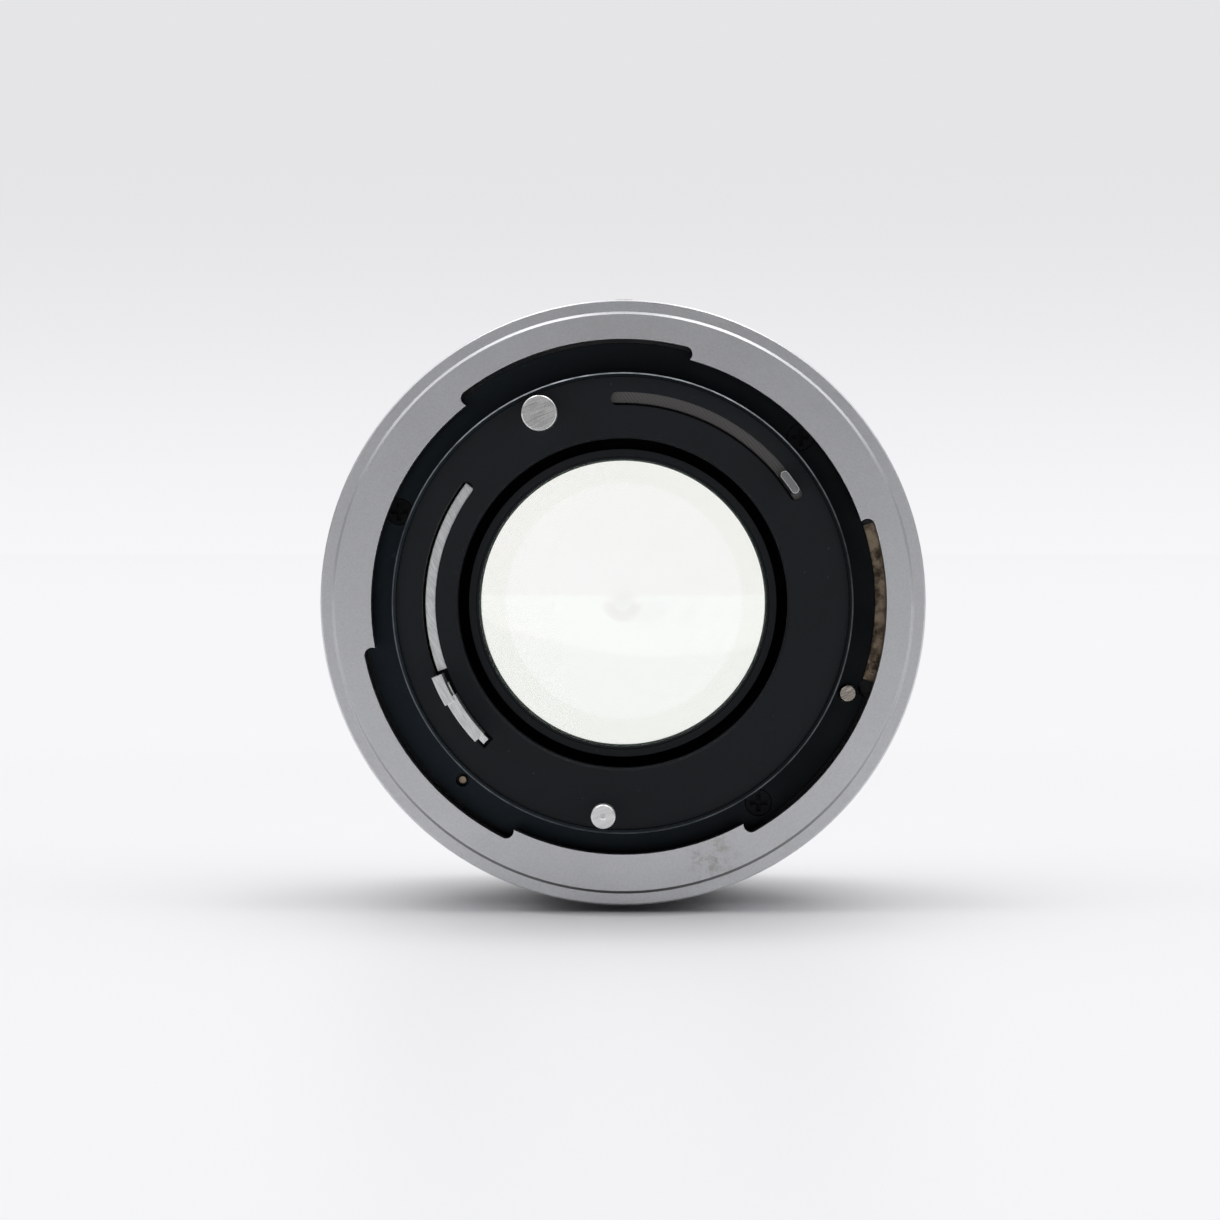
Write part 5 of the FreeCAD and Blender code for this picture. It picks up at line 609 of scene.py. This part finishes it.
def white_paper():
    """White paper over a light table, lit by its own glow away from the lens, and shaded near it, with a
    painted shadow under it.
    """
    made, tree, shader, place = fresh("white_paper")
    tints = colours()
    away = add(tree, "VectorMath", {"operation": "LENGTH"}, {0: place})
    # Painted shadow: the paper is darkest close to the line that the lens stands on.
    painted_contact_shadow = add(tree, "MapRange", {}, {
        "Value": away, "From Min": 32.2 * MM, "From Max": 34.2 * MM, "To Min": 1.0, "To Max": 0.0,
    })
    tone = {MASK: painted_contact_shadow, UNDER: linear(tints.floor), OVER: shade(tints.floor, 0.5)}
    feed(tree, shader, {
        "Base Color": add(tree, "Mix", COLOUR, tone), "Roughness": 0.42, "Specular IOR Level": 0.25,
    })
    # The glass dims and cools what is behind it, so the paper is a little warmer and lighter there.
    through = add(tree, "LightPath", {}, {}).outputs["Is Transmission Ray"]
    distance = add(tree, "MapRange", {}, {"Value": away, "From Min": 1.4, "From Max": 5.0})
    hue = {MASK: distance, UNDER: linear(tints.backdrop_low), OVER: linear(tints.floor_far)}
    hue = {MASK: through, UNDER: add(tree, "Mix", COLOUR, hue), OVER: linear(tints.through_glass)}
    glow = add(tree, "Emission", {}, {
        "Color": add(tree, "Mix", COLOUR, hue),
        "Strength": add(tree, "MapRange", {}, {"Value": through, "To Min": 1.0, "To Max": 1.258}),
    })
    # It glows half as much as the backdrop near the lens, not at all right under it, and fully far from it.
    near = {"Value": away, "From Min": 34.5 * MM, "From Max": 65 * MM, "To Max": 0.5}
    far = {"Value": away, "From Min": 100 * MM, "From Max": 420 * MM}
    lit = {0: add(tree, "MapRange", SMOOTH, near), 1: add(tree, "MapRange", SMOOTH, far)}
    share = add(tree, "Math", LARGER, {0: add(tree, "Math", LARGER, lit), 1: through})
    mixed = add(tree, "MixShader", {}, {0: share, 1: shader, 2: glow})
    output = next(node for node in tree.nodes if node.type == "OUTPUT_MATERIAL")
    feed(tree, output, {"Surface": mixed})
    return made


def light_tent(tree):
    """A pale tent that fades from the horizon upwards, open and darker behind the camera."""
    way = add(tree, "TexCoord", {}, {}).outputs["Generated"]
    axes = add(tree, "SeparateXYZ", {}, {0: way}).outputs
    path = add(tree, "LightPath", {}, {}).outputs
    through = path["Is Transmission Ray"]
    # The backdrop, as the camera sees it.
    rise = add(tree, "MapRange", SMOOTH, {"Value": axes["Z"], "From Min": -0.016, "From Max": 0.081})
    shown = add(tree, "Math", PRODUCT, {0: rise, 1: path["Is Camera Ray"]})
    seen = {MASK: shown, UNDER: linear(colours().backdrop_low), OVER: linear(colours().backdrop_high)}
    # The open side of the tent, behind the camera, is darker. Only light and reflections meet it.
    tilt = math.radians(25)
    behind = add(tree, "VectorMath", ALONG, {0: way, 1: (0.0, -math.cos(tilt), math.sin(tilt))})
    opening = {"Value": behind, "From Min": 0.55, "From Max": 0.985, "To Min": 1.0, "To Max": 0.03}
    # Grey cards at both sides keep the ring's bevel from shining there.
    beside = add(tree, "Math", {"operation": "ABSOLUTE"}, {0: axes["X"]})
    cards = {"Value": beside, "From Min": 0.72, "From Max": 0.95, "To Min": 1.0, "To Max": 0.4}
    dark = {0: add(tree, "MapRange", SMOOTH, opening), 1: add(tree, "MapRange", SMOOTH, cards)}
    direct = add(tree, "Math", LARGER, {0: path["Is Camera Ray"], 1: through})
    level = add(tree, "MapRange", {}, {"Value": direct, "To Min": add(tree, "Math", PRODUCT, dark)})
    # The glass dims and cools what is behind it, so the backdrop is a little warmer and lighter there.
    seen = {MASK: through, UNDER: add(tree, "Mix", COLOUR, seen), OVER: linear(colours().through_glass)}
    sky = add(tree, "Background", {}, {
        "Color": add(tree, "Mix", COLOUR, seen),
        "Strength": add(tree, "MapRange", {}, {"Value": through, "To Min": level, "To Max": 1.2}),
    })
    add(tree, "OutputWorld", {}, {"Surface": sky})


# Operators


class LENS_OT_stage(Operator):
    """Makes the paper floor, the soft lights, the pale backdrop and the camera at the photograph's angle."""

    bl_idname = "lens.stage"
    bl_label = "Studio and camera"

    def execute(self, context):
        nothing_selected()
        side, low = 12, CAD_BOX[0].z
        bpy.ops.mesh.primitive_plane_add(size=side, location=(0, 0, low))
        floor = context.object
        floor.name = "paper_floor"
        bpy.ops.object.transform_apply(location=True, rotation=True, scale=True)
        floor.data.materials.append(white_paper())

        world = bpy.data.worlds.new("light_tent")
        context.scene.world = world
        world.use_nodes = True
        world.node_tree.nodes.clear()
        light_tent(world.node_tree)

        # Each softbox has its place and side in metres, and its power in watts.
        for name, spot, size, power in (
            ("top_left_softbox", (-0.24, -0.05, 0.74), 0.3, 0.52),
            ("top_right_softbox", (0.24, -0.05, 0.74), 0.3, 0.52),
            ("left_softbox", (-0.62, -0.25, 0.62), 0.45, 0.4),
            ("right_softbox", (0.62, -0.25, 0.62), 0.45, 0.4),
            ("back_softbox", (0.0, 0.45, 0.7), 0.4, 0.5),
        ):
            bpy.ops.object.light_add(type="AREA", location=spot)
            lamp = context.object
            lamp.name = name
            lamp.data.size = size
            lamp.data.energy = power
            lamp.rotation_euler = (-Vector(spot)).to_track_quat("-Z", "Y").to_euler()

        turn = (math.radians(88.9465), 0, math.radians(0.883))
        bpy.ops.object.camera_add(location=(6 * MM, -480 * MM, 8 * MM), rotation=turn)
        camera = context.object
        camera.data.sensor_width = 36
        camera.data.lens = 134.85
        camera.data.clip_start = 0.01
        context.scene.camera = camera
        context.scene.view_settings.view_transform = "Standard"
        return {"FINISHED"}


class LENS_OT_metal_finishes(Operator):
    """Gives the breech ring, flange, baffle, levers, pins, springs and barrels their finishes."""

    bl_idname = "lens.metal_finishes"
    bl_label = "Metal finishes"

    def execute(self, context):
        tint = colours()
        dress(satin_plate(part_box("breech_ring")[0].y), "breech_ring")
        dress(blued_steel(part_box("mount_flange")[0].y), "mount_flange")
        dress(matt_black("blackened_screw_steel"), "flange_screws")
        dress(
            matt_black(), "light_baffle", "rear_cell", "front_cell", "iris_housing", "lever_deck",
            "rear_retaining_ring", "front_retaining_ring", "front_spacer", "middle_retaining_ring",
            "rear_spacer_front", "rear_spacer_back",
        )
        dress(
            black_anodised(), "main_barrel", "aperture_ring", "scale_ring", "focus_ring", "front_barrel",
            "helicoid_carrier",
        )
        dress(black_enamel(), "front_bezel")
        steel = bright_steel("polished_steel", tint.steel, low=0.2, high=0.34)
        dress(steel, "full_aperture_pin", "click_ball", "auto_lock_button")
        steel = bright_steel("turned_pin_steel", tint.turned_pin, low=0.36, high=0.44, streak=3.0, dull=0.93)
        dress(steel, "guide_pin")
        steel = bright_steel("tarnished_pin_steel", tint.tarnished_pin, 0.34, 0.46, streak=1.0, dull=0.5)
        dress(steel, "lock_pin")
        slides_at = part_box("lever_deck")[0].y - 0.9 * MM
        steel = lever_steel("pressed_lever_steel", slides_at, low="5C5B5A", high="7D7B79", face=0.38)
        dress(steel, "signal_lever")
        # Under the light baffle this lever is nearly black.
        steel = lever_steel("lever_steel_dark_under_baffle", slides_at, low="17171A", high="222225", face=1.0)
        dress(steel, "auto_lever")
        dress(
            bright_steel("spring_steel", tint.spring_steel, low=0.25, high=0.4, streak=1.2),
            "lock_pin_spring", "click_spring", "scale_ring_screws", "focus_ring_screws",
            "front_barrel_screws", "guide_keys", "helicoid_snap_ring", "cam_keeper",
        )
        dress(warm_metal("turned_brass", tint.brass, rough=0.28), "focus_helicoid", "iris_cam_ring")
        bronze = warm_metal("spring_bronze", tint.bronze, rough=0.3, stained=0.2, patch=1.3, start=0.42)
        dress(bronze, "lock_spring_leaf", "leaf_screw", "locating_pin")
        dress(matt_black("blackened_blade_steel"), *[f"iris_blade_{n}" for n in range(1, 9)])
        dress(filling("red_index_enamel", tint.red), "breech_index_bead")
        return {"FINISHED"}


class LENS_OT_glass(Operator):
    """Gives each glass element its glass and its coating."""

    bl_idname = "lens.glass"
    bl_label = "Coated glass"

    def execute(self, context):
        crown, flint = 1.6, 1.7
        for number, ior, sheen in (
            (1, crown, "E8B8D8"), (2, crown, "F0D0A0"), (6, flint, "C8D0F0"), (7, flint, "BFE3D0"),
        ):
            dress(optical_glass(f"coated_glass_{number}", ior, sheen), f"glass_element_{number}")
        for number in (3, 4, 5):
            dress(cemented_glass(f"inner_glass_{number}"), f"glass_element_{number}")
        return {"FINISHED"}


class LENS_OT_rubber_grip(Operator):
    """Models the ribbed rubber grip of the focusing ring, in place of its plain solid."""

    bl_idname = "lens.rubber_grip"
    bl_label = "Rubber grip"

    def execute(self, context):
        back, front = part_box("focus_grip")[0].y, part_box("focus_grip")[1].y
        spots = [out_from_axis(v.co) for v in NODES["focus_grip"].data.vertices]
        inner, outer = min(spots), max(spots)
        floor = outer - 0.9 * MM
        rib, deep = sizes().rib_turn, sizes().rib_deep
        pitch, land, groove = math.radians(24), math.radians(11.5), math.radians(1.0)
        obj = sleeve(inner, floor, back, front, 720)

        def from_land(face):
            """Angle of a face from the middle of its land."""
            return (turned_from_top(face.calc_center_median()) + pitch / 2) % pitch - pitch / 2

        def outside(face, least):
            """Whether a face looks outwards, further from the axis than least."""
            return abs(face.normal.y) < 0.1 and out_from_axis(face.calc_center_median()) > least

        def in_rib(face):
            """Whether a face of a land belongs to a rib, and not to a groove between two."""
            return (from_land(face) + land / 2) % (rib + groove) < rib

        pick(obj, faces=lambda f: outside(f, (floor + inner) / 2) and abs(from_land(f)) < land / 2)
        bpy.ops.mesh.extrude_region_shrink_fatten(TRANSFORM_OT_shrink_fatten={"value": outer - floor - deep})
        top = max(out_from_axis(v.co) for v in bmesh.from_edit_mesh(obj.data).verts)
        pick(obj, faces=lambda f: outside(f, top - 0.05 * MM) and in_rib(f))
        bpy.ops.mesh.extrude_region_shrink_fatten(TRANSFORM_OT_shrink_fatten={"value": deep})
        bpy.ops.object.mode_set(mode="OBJECT")
        bevel = obj.modifiers.new("soft_moulded_edges", "BEVEL")
        bevel.width = 0.1 * MM
        bevel.segments = 1
        bevel.limit_method = "ANGLE"
        bevel.angle_limit = math.radians(40)
        bpy.ops.object.modifier_apply(modifier=bevel.name)
        settle(obj, "rubber_grip", "focus_ring_set", grip_rubber())
        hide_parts("focus_grip")
        return {"FINISHED"}


class LENS_OT_filter_thread(Operator):
    """Models the ridges of the filter thread inside the front rim."""

    bl_idname = "lens.filter_thread"
    bl_label = "Filter thread"

    def execute(self, context):
        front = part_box("front_barrel")[1].y - 0.35 * MM
        back = front - 4.2 * MM
        rim = [out_from_axis(v.co) for v in NODES["front_barrel"].data.vertices if v.co.y > front]
        bore, wall = min(rim) - 0.02 * MM, 0.08 * MM
        ridges = int((front - back) / sizes().thread_pitch)
        step = (front - back) / (2 * ridges)
        obj = sleeve(bore - wall, bore, back, front, 96)

        def inside(corner):
            """Whether a corner lies on the sleeve's inner wall."""
            return out_from_axis(corner.co) < bore - wall / 2

        def runs_along(edge):
            """Whether an edge runs from end to end of the sleeve."""
            return abs(edge.verts[0].co.y - edge.verts[1].co.y) > 1 * MM

        pick(obj, edges=lambda e: runs_along(e) and inside(e.verts[0]))
        bpy.ops.mesh.subdivide(number_cuts=2 * ridges - 1)
        pick(obj, verts=lambda v: inside(v) and round((v.co.y - back) / step) % 2 == 1)
        inward = (bore - sizes().thread_deep) / (bore - wall)
        bpy.ops.transform.resize(value=(inward, 1, inward), center_override=(0, 0, 0))
        bpy.ops.mesh.select_all(action="SELECT")
        bpy.ops.mesh.normals_make_consistent(inside=False)
        bpy.ops.object.mode_set(mode="OBJECT")
        settle(obj, "filter_thread", "optical_unit", black_anodised(), 20)
        return {"FINISHED"}


CAPITAL_PART = 0.7  # Height of a capital letter as a part of its type size.
ENGRAVED = 0.05  # Thickness of a filled mark, in millimetres.


def skin(node, along):
    """Radius of a node's outer wall at a place along the axis. Sizes in millimetres."""
    mesh, plane = NODES[node].data, along * MM
    walls = []
    for edge in mesh.edges:
        low, high = sorted((mesh.vertices[n].co for n in edge.vertices), key=lambda spot: spot.y)
        if low.y <= plane < high.y:
            walls.append(out_from_axis(low.lerp(high, (plane - low.y) / (high.y - low.y))))
    return max(walls) / MM


def on_ring(angle, along, out):
    """A spot on a ring, at an angle from the top. Sizes in millimetres."""
    return (math.sin(angle) * out * MM, along * MM, math.cos(angle) * out * MM)


def letter(words, tall, angle, along, out):
    """One word as a thin mesh, laid on a ring at an angle from the top. Sizes in millimetres."""
    bpy.ops.object.text_add(location=on_ring(angle, along, out), rotation=(0, angle, 0))
    text = bpy.context.object
    text.data.body = words
    text.data.size = tall / CAPITAL_PART * MM
    text.data.align_x = "CENTER"
    text.data.align_y = "CENTER"
    text.data.extrude = ENGRAVED / 2 * MM
    text.data.resolution_u = 3
    bpy.ops.object.convert(target="MESH")
    return bpy.context.object


def stroke(wide, long, angle, along, out):
    """One engraved line, laid on a ring at an angle from the top. Sizes in millimetres."""
    bpy.ops.mesh.primitive_cube_add(
        size=MM, location=on_ring(angle, along, out), rotation=(0, angle, 0), scale=(wide, long, ENGRAVED)
    )
    obj = bpy.context.object
    bevel = obj.modifiers.new("soft_ends", "BEVEL")
    bevel.width = ENGRAVED * 0.3 * MM
    bpy.ops.object.transform_apply(location=False, rotation=False, scale=True)
    bpy.ops.object.modifier_apply(modifier=bevel.name)
    return obj


def joined(parts, name, body, made):
    """Joins marks into one piece that rides on a body."""
    nothing_selected()
    for part in parts:
        part.select_set(True)
    bpy.context.view_layer.objects.active = parts[0]
    if len(parts) > 1:
        bpy.ops.object.join()
    settle(bpy.context.object, name, body, made, 0)
    nothing_selected()


class LENS_OT_aperture_scale(Operator):
    """Engraves the aperture numbers on the aperture ring."""

    bl_idname = "lens.aperture_scale"
    bl_label = "Aperture numbers"

    def execute(self, context):
        nothing_selected()
        values, step = sizes().f_numbers.split(), sizes().f_step
        tall, along = 1.7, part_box("aperture_ring")[1].y / MM - 2.7
        out = skin("aperture_ring", along)
        parts = [letter(value, tall, n * step, along, out) for n, value in enumerate(values)]
        joined(parts, "aperture_numbers", "aperture_ring_set", filling("white_filling", colours().white))
        # The automatic setting is marked on the lock button, one step past the smallest aperture.
        turn = len(values) * step
        low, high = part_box("auto_lock_button")
        outward = Vector((math.sin(turn), 0, math.cos(turn)))
        top = max(v.co.dot(outward) for v in NODES["auto_lock_button"].data.vertices)
        parts = [letter("A", tall, turn, (low.y + high.y) / 2 / MM, top / MM)]
        joined(parts, "aperture_auto_mark", "lock_button_body", filling("green_filling", colours().green))
        return {"FINISHED"}


class LENS_OT_depth_scale(Operator):
    """Engraves the index line and the depth of field marks on the fixed ring."""

    bl_idname = "lens.depth_scale"
    bl_label = "Depth of field scale"

    def execute(self, context):
        nothing_selected()
        cone = "scale_ring"
        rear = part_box(cone)[0].y / MM
        along = rear + 2.2
        line = [stroke(0.35, 3.6, 0, along, skin(cone, along) + 0.058)]
        joined(line, "focus_index", "fixed_barrel", filling("amber_filling", colours().amber))
        marks_at, numbers_at = rear + 3.55, rear + 2.0
        marks_out, numbers_out = skin(cone, marks_at) + 0.03, skin(cone, numbers_at) + 0.087
        parts = []
        blur = 0.033 * MM  # Widest image of a point that still looks sharp.
        for value, apart in ((4, 1), (8, 1), (11, 1), (16, 1.04)):
            turn = value * blur / sizes().focus_travel * sizes().focus_turn
            for side in (-1, 1):
                parts.append(stroke(0.16, 1.1, side * turn, marks_at, marks_out))
                parts.append(letter(str(value), 1.05, side * turn * apart, numbers_at, numbers_out))
        joined(parts, "depth_marks", "fixed_barrel", filling("white_filling", colours().white))
        along = rear + 0.5
        dot = [stroke(0.3, 0.3, math.radians(4.7), along, skin(cone, along) + 0.027)]
        joined(dot, "infrared_mark", "fixed_barrel", filling("red_filling", colours().red))
        return {"FINISHED"}


class LENS_OT_distance_scale(Operator):
    """Engraves the distances on the rear band of the focusing ring."""

    bl_idname = "lens.distance_scale"
    bl_label = "Distance scale"

    def execute(self, context):
        nothing_selected()
        tall, foot = 1.5, 0.3048
        label_tall, label_turn = 1.2, math.radians(-8)
        metres, feet = sizes().metres.split(), sizes().feet.split()
        focal, travel, turn = sizes().focal_long, sizes().focus_travel, sizes().focus_turn

        def angle(distance):
            """Turn of the ring that focuses at a distance in metres, by the lens formula in a few rounds."""
            shift = 0.0
            for _ in range(6):
                shift = focal**2 / (distance - 2 * focal - shift)
            return min(shift, travel) / travel * turn

        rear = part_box("focus_ring")[0].y / MM
        along = rear + 1.6
        out = skin("focus_ring", along) + 0.02
        parts = [letter("∞", 1.9, 0, rear + 1.9, out), letter("m", label_tall, label_turn, along, out)]
        parts += [letter(value, tall, angle(float(value)), along, out) for value in metres]
        parts += [stroke(0.14, 0.7, angle(float(value)), rear + 0.45, out) for value in metres]
        joined(parts, "distance_metres", "focus_ring_set", filling("white_filling", colours().white))
        along = rear + 4.4
        parts = [letter("ft", label_tall, label_turn, along, out)]
        parts += [letter(value, tall, angle(float(value) * foot), along, out) for value in feet]
        joined(parts, "distance_feet", "focus_ring_set", filling("amber_filling", colours().amber))
        return {"FINISHED"}


class LENS_PT_sidebar(Panel):
    """Lists the steps that dress the lens, and its sizes and colours."""

    bl_idname = "LENS_PT_sidebar"
    bl_label = "Standard prime lens"
    bl_space_type = "VIEW_3D"
    bl_region_type = "UI"
    bl_category = "Lens"

    def draw(self, context):
        for step in STEPS:
            self.layout.operator(step.bl_idname)
        for group in (context.scene.lens_sizes, context.scene.lens_colours):
            for name in group.bl_rna.properties.keys():
                if name not in ("rna_type", "name"):
                    self.layout.prop(group, name)


STEPS = (
    LENS_OT_metal_finishes,
    LENS_OT_glass,
    LENS_OT_rubber_grip,
    LENS_OT_filter_thread,
    LENS_OT_aperture_scale,
    LENS_OT_depth_scale,
    LENS_OT_distance_scale,
    LENS_OT_stage,
)
CLASSES = (LensSizes, LensColours, *STEPS, LENS_PT_sidebar)


def register():
    for cls in CLASSES:
        bpy.utils.register_class(cls)
    bpy.types.Scene.lens_sizes = PointerProperty(type=LensSizes)
    bpy.types.Scene.lens_colours = PointerProperty(type=LensColours)


def unregister():
    del bpy.types.Scene.lens_colours
    del bpy.types.Scene.lens_sizes
    for cls in reversed(CLASSES):
        bpy.utils.unregister_class(cls)


def main():
    """Dresses the lens step by step."""
    register()
    bpy.ops.lens.metal_finishes()
    bpy.ops.lens.glass()
    bpy.ops.lens.rubber_grip()
    bpy.ops.lens.filter_thread()
    bpy.ops.lens.aperture_scale()
    bpy.ops.lens.depth_scale()
    bpy.ops.lens.distance_scale()
    bpy.ops.lens.stage()


if __name__ == "__main__":
    main()
